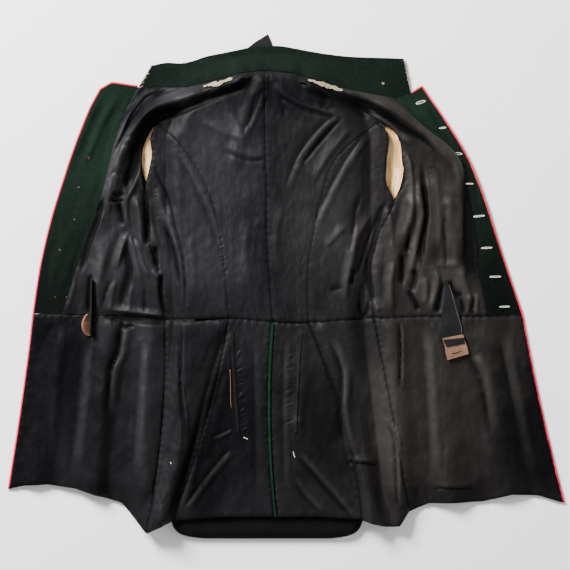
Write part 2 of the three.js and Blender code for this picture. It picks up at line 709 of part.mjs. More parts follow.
// Buttonholes are cut through the left front and its facing
const MERGE_DISTANCE = 1e-4;
const wasm = await Module();
wasm.setup();
function solid(geometry) {
  const bare = geometry.index ? geometry.toNonIndexed() : geometry.clone();
  const places = new THREE.BufferGeometry().setAttribute("position", bare.getAttribute("position"));
  const merged = mergeVertices(places, MERGE_DISTANCE);
  return new wasm.Manifold(
    new wasm.Mesh({
      numProp: 3,
      vertProperties: new Float32Array(merged.attributes.position.array),
      triVerts: new Uint32Array(merged.index.array),
    }),
  );
}
function fromSolid(made) {
  const mesh = made.getMesh();
  const geometry = new THREE.BufferGeometry();
  geometry.setAttribute("position", new THREE.Float32BufferAttribute(mesh.vertProperties, 3));
  geometry.setIndex(Array.from(mesh.triVerts));
  geometry.computeVertexNormals();
  return geometry;
}
function slitCutter({ at: [x, y], length, gape, turn }) {
  const HALF_DEPTH = 40;
  const outline = new THREE.Shape();
  outline.moveTo(-length / 2, 0);
  outline.lineTo(-length / 4, -gape / 2);
  outline.lineTo(length / 4, -gape / 2);
  outline.lineTo(length / 2, 0);
  outline.lineTo(length / 4, gape / 2);
  outline.lineTo(-length / 4, gape / 2);
  outline.closePath();
  const cutter = new THREE.ExtrudeGeometry(outline, { depth: 2 * HALF_DEPTH, bevelEnabled: false });
  cutter.translate(0, 0, -HALF_DEPTH);
  cutter.rotateZ(THREE.MathUtils.degToRad(turn));
  return cutter.translate(x, y, 0);
}
const slits = BUTTONHOLES.map(slitCutter).map(solid);
const cutSlits = (geometry) => fromSolid(slits.reduce((body, slit) => body.subtract(slit), solid(geometry)));
shellWalls.front_L = cutSlits(shellWalls.front_L);
innerWalls.facing_L.geometry = cutSlits(innerWalls.facing_L.geometry);
for (const [name, geometry] of Object.entries(shellWalls)) add(name, geometry, wool);
for (const [name, { geometry, material }] of Object.entries(innerWalls)) add(name, geometry, material);

// Collar: two layers that open out flat above the neck seam
const COLLAR_TOP = [
  [-229, 376],
  [-205, 381],
  [-179, 380],
  [-159, 384],
  [-135, 392],
  [-109, 397],
  [-84, 402],
  [-60, 407],
  [-35, 409],
  [-9, 409],
  [20, 404],
  [61, 397],
  [101, 392],
  [139, 390],
  [173, 389],
  [200, 388],
];
const COLLAR_SEAM_GAP = 0.9;
const COLLAR_ROWS = 3;
const neckCorner = (name) => BODY_LINES[name].neck;
const between = (from, to, shares) => shares.map((t) => lerpPoint(neckCorner(from), neckCorner(to), t));
const collarSeam = [
  ...between("facingR", "chestR", [0, 1 / 3, 2 / 3]),
  ...between("chestR", "sideR", [0, 1 / 3, 2 / 3]),
  ...between("sideR", "centre", [0, 1 / 2]),
  ...between("centre", "sideL", [0, 1 / 2]),
  ...between("sideL", "chestL", [0, 1 / 2]),
  ...between("chestL", "facingL", [0, 1 / 2]),
  ...between("facingL", "buttonL", [0, 0.93]),
];
const collarPlan = [];
for (let j = 0; j <= COLLAR_ROWS; j += 1) {
  collarPlan.push(
    collarSeam.map(([x, y], i) => {
      const [topX, topY] = COLLAR_TOP[i];
      const low = COLLAR_SEAM_GAP / Math.hypot(topX - x, topY - y);
      return lerpPoint([x, y], [topX, topY], lerp(low, 1, j / COLLAR_ROWS));
    }),
  );
}

// The collar falls from the neck seam to the surface, over the hanger loop
const OVER_LOOP = { middle: -48, half: 70, height: 2.9 };
const collarUnder = collarPlan.map((row, j) => {
  const fall = 1 - smooth(j / COLLAR_ROWS);
  return row.map(([x, y], i) => {
    const nearLoop = smooth(clamp(1.5 - Math.abs(x - OVER_LOOP.middle) / OVER_LOOP.half, 0, 1));
    return [x, y, Math.max(liftAt(...collarSeam[i]) * fall, OVER_LOOP.height * nearLoop)];
  });
});
const collarLiningUnder = thicker(collarUnder, WOOL + LAYER_GAP);
add("collar", clothWall(collarUnder, thicker(collarUnder, WOOL)), wool);
add("collar_lining", clothWall(collarLiningUnder, thicker(collarLiningUnder, FACING)), wool);

// Sleeves, flattened: two flat walls with a round edge along each side
const ROUND_STEPS = 4;
const FLAT_SHARES = [0.25, 0.5, 0.75];
const NO_MOUTH = { top: 0, bottom: 0 };

// Unit normals of an edge in plan, to its left for side 1 and to its right for side -1
function edgeNormals(points, side) {
  return points.map((_, j) => {
    const from = points[Math.max(0, j - 1)];
    const to = points[Math.min(points.length - 1, j + 1)];
    const length = Math.hypot(to[0] - from[0], to[1] - from[1]);
    return [(-side * (to[1] - from[1])) / length, (side * (to[0] - from[0])) / length];
  });
}

// A sleeve's rows, each with the directions in plan from its two edges into the sleeve
function sleeveRows(side) {
  const rows = SLEEVES[side];
  const turn = side === "R" ? -1 : 1;
  const inner = edgeNormals(rows.map((row) => row.inner), turn);
  const outer = edgeNormals(rows.map((row) => row.outer), -turn);
  return rows.map((row, j) => ({ ...row, fromInner: inner[j], fromOuter: outer[j] }));
}

// One section of a sleeve. grow is added to the radius of its round edges. mouth says how far
// its upper and lower wall are drawn aside there.
function sleeveRing({ inner, outer, fromInner, fromOuter }, grow, mouth) {
  const middle = SLEEVE_HEIGHT / 2;
  const radius = middle + grow;
  const within = ([x, y], [dx, dy], inset) => [x + dx * inset, y + dy * inset];
  const ring = [];
  const roundEdge = (point, direction, upwards) => {
    for (let k = 0; k <= ROUND_STEPS; k += 1) {
      const angle = upwards * (k / ROUND_STEPS - 0.5) * Math.PI;
      const plan = within(point, direction, middle - radius * Math.cos(angle));
      ring.push([...plan, middle + radius * Math.sin(angle)]);
    }
  };
  const flatWall = (from, to, z, bow) => {
    for (const share of FLAT_SHARES) {
      const [x, y] = lerpPoint(from, to, share);
      ring.push([x + 4 * bow * share * (1 - share), y, z]);
    }
  };
  const flatOuter = within(outer, fromOuter, middle);
  const flatInner = within(inner, fromInner, middle);
  roundEdge(outer, fromOuter, 1);
  flatWall(flatOuter, flatInner, middle + radius, mouth.top);
  roundEdge(inner, fromInner, -1);
  flatWall(flatInner, flatOuter, middle - radius, mouth.bottom);
  return ring;
}
const SLEEVE_WOOL = 2.2;
const SLEEVE_LINING = 1;
const SLEEVE_LINING_CLEAR = 0.4;
const CUFF_APART = 0.2;
const rings = (rows, grow, mouth) => rows.map((row, j) => sleeveRing(row, grow, j === 0 ? mouth : NO_MOUTH));
const towardsRow = (row, next) => {
  const move = (p, q) => lerpPoint(p, q, CUFF_APART / Math.hypot(q[0] - p[0], q[1] - p[1]));
  return { ...row, inner: move(row.inner, next.inner), outer: move(row.outer, next.outer) };
};
for (const side of ["R", "L"]) {
  const rows = sleeveRows(side);
  const mouth = MOUTHS[side];
  const arm = [...rows.slice(0, CUFF_FROM), towardsRow(rows[CUFF_FROM], rows[CUFF_FROM - 1])];
  const cuff = [towardsRow(rows[CUFF_FROM], rows[CUFF_FROM + 1]), ...rows.slice(CUFF_FROM + 1)];
  const near = rows.slice(0, SLEEVE_LINING_TO + 1);
  const outside = -SLEEVE_WOOL - SLEEVE_LINING_CLEAR;
  add(`sleeve_${side}`, hollowTube(rings(arm, 0, mouth), rings(arm, -SLEEVE_WOOL, mouth)), wool);
  add(`cuff_${side}`, hollowTube(rings(cuff, 0, NO_MOUTH), rings(cuff, -SLEEVE_WOOL, NO_MOUTH)), wool);
  const inside = outside - SLEEVE_LINING;
  const liningRings = [outside, inside, 0].map((grow) => rings(near, grow, mouth));
  add(`sleeve_lining_${side}`, hollowTube(...liningRings), cream);
}

// Piping along each front edge and round to the collar: a thin roll outside the shell and facing
const PIPING_RADIUS = 1.5;
const PIPING_SIDES = 6;
const PIPING_GAP = 0.6;
// Moves a path in plan to its right, with sharp corners kept
function offsetPath(points, distance) {
  return points.map((p, i) => {
    const before = points[Math.max(0, i - 1)];
    const after = points[Math.min(points.length - 1, i + 1)];
    const normals = [
      [before, p],
      [p, after],
    ].flatMap(([a, b]) => {
      const length = Math.hypot(b[0] - a[0], b[1] - a[1]);
      return length > 0 ? [[(b[1] - a[1]) / length, (a[0] - b[0]) / length]] : [];
    });
    const mean = lerpPoint(normals[0], normals[normals.length - 1], 0.5);
    const square = mean[0] ** 2 + mean[1] ** 2;
    return [p[0] + (mean[0] * distance) / square, p[1] + (mean[1] * distance) / square];
  });
}
const PIPING_STOPS = { R: ["buttonR", "facingR"], L: ["buttonL"] };
const SHORT_OF_STOP = 0.12;
function pipingPath(side) {
  const levels = [...SKIRT_ROWS, ...BODY_ROWS.slice(1)];
  const edge = levels.map((level) => linePoint(`edge${side}`, level));
  const corners = [...edge, ...PIPING_STOPS[side].map(neckCorner)];
  const [before, end] = corners.slice(-2);
  const path = [...corners.slice(0, -1), lerpPoint(end, before, SHORT_OF_STOP)];
  const moved = offsetPath(path, (side === "R" ? -1 : 1) * (PIPING_RADIUS + PIPING_GAP));
  return moved.map(([x, y], i) => [x, y, liftAt(...path[i]) + WOOL]);
}
function pipe(path, radius, sides) {
  const points = path.map((p) => new THREE.Vector3(...p));
  const up = new THREE.Vector3(0, 0, 1);
  const loops = points.map((p, i) => {
    const before = points[Math.max(0, i - 1)];
    const after = points[Math.min(points.length - 1, i + 1)];
    const out = new THREE.Vector3().subVectors(after, before).cross(up).normalize();
    const loop = [];
    for (let k = 0; k < sides; k += 1) {
      const angle = (2 * Math.PI * k) / sides;
      const q = p.clone().addScaledVector(out, radius * Math.cos(angle));
      loop.push(q.addScaledVector(up, radius * Math.sin(angle)).toArray());
    }
    return loop;
  });
  return throughRings(loops);
}
for (const side of ["R", "L"]) {
  add(`piping_${side}`, pipe(pipingPath(side), PIPING_RADIUS, PIPING_SIDES), scarlet);
}

// The vent's green edge, between the two tail linings
const ventPlan = SKIRT_ROWS.map((level, j) => {
  const [x, y] = linePoint("centre", level);
  const shy = j === 0 ? TAIL_HEM_SHOWS : 0;
  const short = j === SKIRT_ROWS.length - 1 ? SEAM_INSET : 0;
  return [-VENT_HALF, VENT_HALF].map((dx) => [x + dx, y + shy - short]);
});
const ventUnder = raise(ventPlan, innerUnder);
add("vent_edge", clothWall(ventUnder, thicker(ventUnder, FACING)), wool);

// Strips that lie on a lining, set just clear of the highest cloth near each point
const ON_CLOTH_GAP = 0.5;
const NEAR = 6;
function restHeight(names, x, y) {
  const around = [0, 1, 2, 3, 4, 5, 6, 7].map((k) => (k * Math.PI) / 4);
  const places = [[x, y], ...around.map((a) => [x + NEAR * Math.cos(a), y + NEAR * Math.sin(a)])];
  return Math.max(...places.map(([px, py]) => heightOverPanels(names, px, py))) + ON_CLOTH_GAP;
}
function stripOn(names, path, thickness, lift = 0) {
  const plan = path.map(({ at: [x, y], half, turn = 0 }) => {
    const [c, s] = [Math.cos(turn), Math.sin(turn)];
    return [-half, 0, half].map((d) => [x + d * c, y + d * s]);
  });
  const under = plan.map((row) => row.map(([x, y]) => [x, y, restHeight(names, x, y) + lift]));
  return clothWall(under, thicker(under, thickness));
}
const WELT_HALF = 2.4;
const WELT_THICKNESS = 1.2;
const WELTS = {
  R: [[-92, -76], [-91, -108], [-89, -146], [-87, -180], [-84, -214], [-82, -246]],
  L: [[25, -78], [22, -112], [20, -146], [18, -180], [16, -214], [15, -248]],
};
for (const [side, points] of Object.entries(WELTS)) {
  const rows = points.map((at) => ({ at, half: WELT_HALF }));
  add(`pocket_welt_${side}`, stripOn([`tail_lining_${side}`], rows, WELT_THICKNESS), satin);
}

// Belt-hook straps with a leather tab each: the left one lies flat, the right one stands on its edge
const STRAP_THICKNESS = 1.4;
const TAB_THICKNESS = 2.6;
const TAB_SLOT = { at: [288, -112], length: 13, gape: 2.4, turn: 15 };
const TAB_GAP = 0.3;
const STRAP_L = [
  { at: [277, 4], half: 5, turn: 0.02 },
  { at: [279, -17], half: 9, turn: 0.05 },
  { at: [282, -37], half: 14, turn: 0.1 },
  { at: [283, -61], half: 17, turn: 0.18 },
  { at: [284, -85], half: 18, turn: 0.24 },
  { at: [287, -98], half: 18, turn: 0.26 },
];
const TAB_L = [
  { at: [284, -85], half: 18, turn: 0.24 },
  { at: [287, -98], half: 18, turn: 0.26 },
  { at: [288, -107], half: 19, turn: 0.26 },
  { at: [291, -119], half: 19, turn: 0.28 },
];
const strapNames = ["front_lining_L", "front_skirt_lining_L"];
add("strap_L", stripOn(strapNames, STRAP_L, STRAP_THICKNESS), tape);
const tabL = stripOn(strapNames, TAB_L, TAB_THICKNESS, STRAP_THICKNESS + TAB_GAP);
add("hook_tab_L", fromSolid(solid(tabL).subtract(solid(slitCutter(TAB_SLOT)))), leather);

const STRAP_R = [[-332, 14], [-333, -10], [-333, -34], [-334, -57], [-335, -81]];
const STRAP_R_HEIGHT = 13;
const STRAP_R_LEAN = 3;
const strapNamesR = ["front_lining_R", "front_skirt_lining_R", "facing_R"];
function standingStrip(points, height, thickness, lean) {
  const loops = points.map(([x, y]) => {
    const edges = [x, x + thickness].map((edge) => heightOverPanels(strapNamesR, edge, y));
    const foot = Math.max(...edges) + ON_CLOTH_GAP;
    return [
      [x, y, foot],
      [x + thickness, y, foot],
      [x + thickness + lean, y, foot + height],
      [x + lean, y, foot + height],
    ];
  });
  return throughRings(loops);
}
add("strap_R", standingStrip(STRAP_R, STRAP_R_HEIGHT, STRAP_THICKNESS, STRAP_R_LEAN), tape);
const TAB_R = [[-340, -46], [-342, -61], [-343, -74], [-341, -86]];
const TAB_R_HEIGHT = 11;
add("hook_tab_R", standingStrip(TAB_R, TAB_R_HEIGHT, TAB_THICKNESS, -STRAP_R_LEAN), leather);

// Buttons under the right front: a low dome that rests on its crown, with a shank up to the cloth
const SHANK_RADIUS = 1.6;
const SHANK_GAP = 0.3;
const BUTTON_SIDES = 10;
function button(height) {
  const profile = [
    [0, 0],
    [4, 0],
    [8, 0.9],
    [BUTTON_RADIUS, 2.8],
    [BUTTON_RADIUS - 0.6, 3.8],
    [3, 4.4],
    [SHANK_RADIUS, 5],
    [SHANK_RADIUS, height],
    [0, height],
  ].map(([r, z]) => new THREE.Vector2(r, z));
  return new THREE.LatheGeometry(profile, BUTTON_SIDES).rotateX(Math.PI / 2);
}
buttonLine.forEach(([x, y], i) => {
  const shank = [0, 1, 2, 3].map((k) => (k * Math.PI) / 2);
  const under = shank.map((a) => {
    const [dx, dy] = [SHANK_RADIUS * Math.cos(a), SHANK_RADIUS * Math.sin(a)];
    return heightOn(shellLowerSides.front_R, x + dx, y + dy);
  });
  const mesh = add(`button_${i + 1}`, button(Math.min(...under) - SHANK_GAP), gilt);
  mesh.position.set(x, y, 0);
});

// Hanger loop: a folded tape behind the collar, its fold above the collar's edge
const LOOP_THICKNESS = 2.4;
const LOOP_OUTLINE = [[-69, 388], [-70, 403], [-52, 417], [-31, 430], [-24, 413], [-28, 391]];
const loopShape = new THREE.Shape(LOOP_OUTLINE.map(([x, y]) => new THREE.Vector2(x, y)));
const loopCloth = { depth: LOOP_THICKNESS, bevelEnabled: false };
add("hanger_loop", new THREE.ExtrudeGeometry(loopShape, loopCloth), tape);

// Display form: flat below, with rounded edges above. One ring across it for each row of its outline.
function formRing({ y, half, top }) {
  const side = [];
  for (let k = 0; k <= FORM_EDGE_STEPS; k += 1) {
    const angle = (k * Math.PI) / 2 / FORM_EDGE_STEPS;
    side.push([half - FORM_EDGE_RADIUS * (1 - Math.cos(angle)), top * Math.sin(angle)]);
  }
  const right = side.map(([x, z]) => [FORM_MIDDLE + x, y, z]);
  const left = [...side].reverse().map(([x, z]) => [FORM_MIDDLE - x, y, z]);
  return [...right, ...left];
}
const formBody = () => throughRings(FORM_OUTLINE.map(formRing));
add("display_form", formBody(), velvet);

export default tunic;
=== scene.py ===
import math

import bmesh
import bpy
import numpy as np
from bpy.props import FloatProperty, FloatVectorProperty, PointerProperty
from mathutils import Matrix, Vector, noise


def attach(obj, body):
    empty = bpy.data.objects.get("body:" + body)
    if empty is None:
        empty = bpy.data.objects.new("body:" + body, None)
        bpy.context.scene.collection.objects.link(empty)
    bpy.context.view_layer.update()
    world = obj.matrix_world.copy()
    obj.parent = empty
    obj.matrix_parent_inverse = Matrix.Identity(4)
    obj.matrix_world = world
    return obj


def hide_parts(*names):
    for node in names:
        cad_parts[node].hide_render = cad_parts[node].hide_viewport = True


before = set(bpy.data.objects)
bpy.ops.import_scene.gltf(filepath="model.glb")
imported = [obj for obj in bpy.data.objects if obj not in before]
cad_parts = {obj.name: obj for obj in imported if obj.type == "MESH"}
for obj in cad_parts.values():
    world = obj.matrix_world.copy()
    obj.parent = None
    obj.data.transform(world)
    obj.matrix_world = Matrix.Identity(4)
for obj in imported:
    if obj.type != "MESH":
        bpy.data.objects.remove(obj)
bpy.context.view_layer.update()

bl_info = {
    "name": "Laid-open military tunic",
    "version": (1, 0, 0),
    "blender": (4, 5, 0),
    "location": "3D View > Sidebar > Tunic",
    "description": "Dresses the solids of a tunic that lies open on a display form, lining side up",
    "category": "Object",
}

# Sizes and places below are in millimetres, seen from above: x to the wearer's left front, y to the collar.
# "R" and "L" are the wearer's right and left.
MM = 0.001

# Lines that run up the garment: x at the hem, at mid skirt and at the waist
SKIRT_LINES = {
    "edgeR": (-472, -449, -429),
    "buttonR": (-446, -426, -409),
    "facingR": (-407, -390, -381),
    "chestR": (-317, -300, -291),
    "sideR": (-237, -211, -206),
    "princessR": (-194, -135, -97),
    "centre": (-18, -29, -23),
    "princessL": (129, 96, 37),
    "sideL": (209, 180, 149),
    "chestL": (287, 277, 258),
    "facingL": (384, 368, 343),
    "buttonL": (433, 402, 373),
    "edgeL": (472, 433, 401),
}

# Above the waist: points at the rib, chest, underarm, blade, shoulder and neck
BODY_LINES = {
    "edgeR": [[-417, 31], [-400, 106], [-381, 169], [-359, 235], [-335, 296], [-315, 334]],
    "buttonR": [[-393, 29], [-375, 102], [-356, 164], [-334, 230], [-313, 296], [-296, 345]],
    "facingR": [[-358, 26], [-334, 94], [-315, 150], [-298, 218], [-281, 283], [-252, 339]],
    "chestR": [[-286, 19], [-279, 82], [-276, 143], [-264, 206], [-244, 271], [-167, 339]],
    "sideR": [[-215, 21], [-235, 84], [-240, 160], [-230, 218], [-216, 276], [-69, 362]],
    "princessR": [[-104, 22], [-111, 82], [-128, 150], [-164, 220], [-222, 283], [-269, 347]],
    "centre": [[-29, 24], [-33, 92], [-33, 160], [-35, 228], [-36, 303], [-36, 366]],
    "princessL": [[37, 22], [45, 82], [59, 147], [86, 218], [164, 286], [227, 351]],
    "sideL": [[142, 21], [154, 82], [183, 143], [181, 211], [158, 279], [13, 361]],
    "chestL": [[251, 19], [253, 82], [251, 141], [237, 211], [193, 277], [112, 332]],
    "facingL": [[329, 22], [324, 85], [314, 141], [294, 218], [229, 274], [186, 320]],
    "buttonL": [[355, 22], [341, 85], [326, 145], [302, 216], [258, 272], [214, 328]],
    "edgeL": [[377, 22], [356, 85], [336, 147], [309, 215], [273, 276], [231, 339]],
}
WAIST_LEVEL, UNDERARM_LEVEL, SHOULDER_LEVEL, NECK_LEVEL = 1, 4, 6, 7

# The side back ends in a point at the armhole. From the shoulder up the back begins at the side line.
MEETS_AT_SHOULDER = {"princessR": "sideR", "princessL": "sideL"}
SIDE_BACK_TOP = 5.88

# How far each armhole gapes: level, to the front's side, to the back's side
ARMHOLES = {
    "sideR": [
        (UNDERARM_LEVEL, 0, 0), (4.5, 10, 1), (5, 16, 1), (5.5, 14, 1), (SIDE_BACK_TOP, 5, 0.5),
        (SHOULDER_LEVEL, 0, 0),
    ],
    "sideL": [
        (UNDERARM_LEVEL, 0, 0), (4.5, 15, 15), (5, 16, 10), (5.5, 15, 4), (SIDE_BACK_TOP, 10, 0.5),
        (SHOULDER_LEVEL, 0, 0),
    ],
}

HEM = [
    [-473, -346], [-446, -340], [-407, -338], [-359, -345], [-317, -358], [-281, -369], [-259, -394],
    [-237, -420], [-194, -399], [-106, -392], [-18, -392], [57, -392], [129, -397], [168, -409],
    [193, -408], [209, -384], [244, -370], [287, -369], [336, -367], [384, -355], [431, -357],
    [470, -369],
]
WAIST = [
    [-431, -47], [-315, -47], [-279, -51], [-206, -57], [-179, -61], [-147, -59], [-97, -54],
    [-60, -57], [-21, -61], [22, -63], [73, -59], [149, -54], [227, -51], [341, -51],
    [401, -49],
]

# The display form: y, half its width, and its height there
FORM_MIDDLE = -33
FORM_OUTLINE = [
    (-430, 112, 5), (-426, 138, 11), (-418, 154, 15), (-404, 162, 17), (-380, 163, 18),
    (-261, 150, 18), (-57, 122, 18), (147, 136, 18), (249, 138, 18), (286, 116, 18),
    (313, 76, 16), (330, 46, 12), (339, 34, 6),
]
FORM_EDGE_RADIUS = 15
FORM_HEIGHT = 18
CLOTH_CLEARANCE = 1.2

# Sleeves folded under the fronts: inner and outer edge from the armhole to the wrist
SLEEVES = {
    "R": [
        ([-228, 158], [-220, 279]), ([-233, 130], [-278, 271]), ([-228, 97], [-315, 238]),
        ([-218, 51], [-341, 174]), ([-215, -10], [-359, 87]), ([-213, -78], [-371, -6]),
        ([-213, -146], [-371, -100]), ([-215, -214], [-371, -185]), ([-220, -272], [-366, -255]),
        ([-227, -326], [-361, -312]),
    ],
    "L": [
        ([180, 141], [173, 283]), ([188, 113], [224, 271]), ([183, 80], [258, 232]),
        ([175, 38], [290, 164]), ([171, -20], [312, 82]), ([171, -85], [326, -10]),
        ([175, -151], [331, -100]), ([180, -214], [331, -185]), ([186, -272], [329, -255]),
        ([195, -326], [326, -312]),
    ],
}
# How far the upper and the lower wall of each sleeve are drawn aside at its mouth
MOUTHS = {"R": (-22, 6), "L": (24, -14)}
SLEEVE_HEIGHT = 8.2
SLEEVE_WOOL = 2.2
CUFF_FROM = 8
SLEEVE_LINING_TO = 3

BUTTONS = 8
BUTTON_FROM_EDGE = 24
BUTTON_LEVELS = (1.12, 6.55)
BUTTON_HEIGHT = 8
BUTTON_CLEARANCE = 0.5
# How far to each side of the buttons the front is raised by them
BUTTON_REACH = 70
# Radius and height of points on the outline of a button, from its dome below to the end of its shank
BUTTON_PROFILE = [
    (0, 0), (3, 0.05), (6, 0.4), (8, 0.95), (9.4, 1.9), (10, 2.8), (9.8, 3.5), (9.2, 3.8), (3, 4.4),
    (1.6, 5), (1.6, 7.9), (0, 7.9),
]

# Large folds: path, height at its start and end, half width at its start and end, steep side (-1, 0 or 1)
DEEP_FOLDS = [
    ([[-296, -74], [-310, -193], [-322, -350]], (5, 13), (34, 44), 1),
    ([[-232, -74], [-235, -244], [-237, -414]], (5, 20), (30, 40), 0),
    ([[-109, -74], [-154, -227], [-205, -394]], (4, 17), (26, 34), 1),
    ([[61, -74], [108, -227], [146, -397]], (4, 17), (26, 34), -1),
    ([[180, -74], [190, -244], [190, -404]], (5, 18), (30, 38), 0),
    ([[261, -83], [271, -227], [282, -367]], (4, 13), (38, 46), 0),
    ([[338, -91], [360, -227], [377, -353]], (3, 9), (34, 44), 0),
    ([[-385, -91], [-409, -227], [-426, -336]], (2, 8), (30, 36), 0),
    ([[-296, 147], [-283, 215], [-262, 259], [-222, 303], [-164, 325], [-82, 347]], (4, 14), (32, 30), -1),
    ([[288, 164], [271, 215], [241, 254], [193, 291], [125, 317], [44, 339]], (4, 14), (32, 30), 1),
]
SOFT_FOLDS = [
    ([[-286, 138], [-273, 223], [-232, 294], [-155, 322]], (4, 7), (18, 18), 0),
    ([[-249, 138], [-232, 53], [-208, -34]], (6, 4), (20, 20), 0),
    ([[-198, 121], [-177, 45], [-164, -32]], (4, 2), (20, 22), 0),
    ([[214, 138], [190, 62], [173, -34]], (6, 4), (20, 20), 0),
    ([[236, 164], [241, 79], [227, -23]], (6, 4), (22, 24), 0),
    ([[278, 138], [288, 62], [299, -23]], (5, 4), (18, 20), 0),
    ([[-317, 113], [-317, 41], [-310, -30]], (4, 5), (22, 26), 0),
    ([[-41, 344], [-69, 283], [-86, 215]], (3, 2), (16, 24), 0),
    ([[-11, 334], [23, 296], [100, 269]], (3, 2), (16, 22), 0),
    ([[-138, -278], [-109, -193], [-92, -91]], (3, 2), (16, 16), 0),
    ([[100, -363], [57, -295], [20, -236]], (4, 3), (18, 18), 0),
    ([[23, -227], [30, -159], [27, -83]], (3, 2), (14, 14), 0),
]

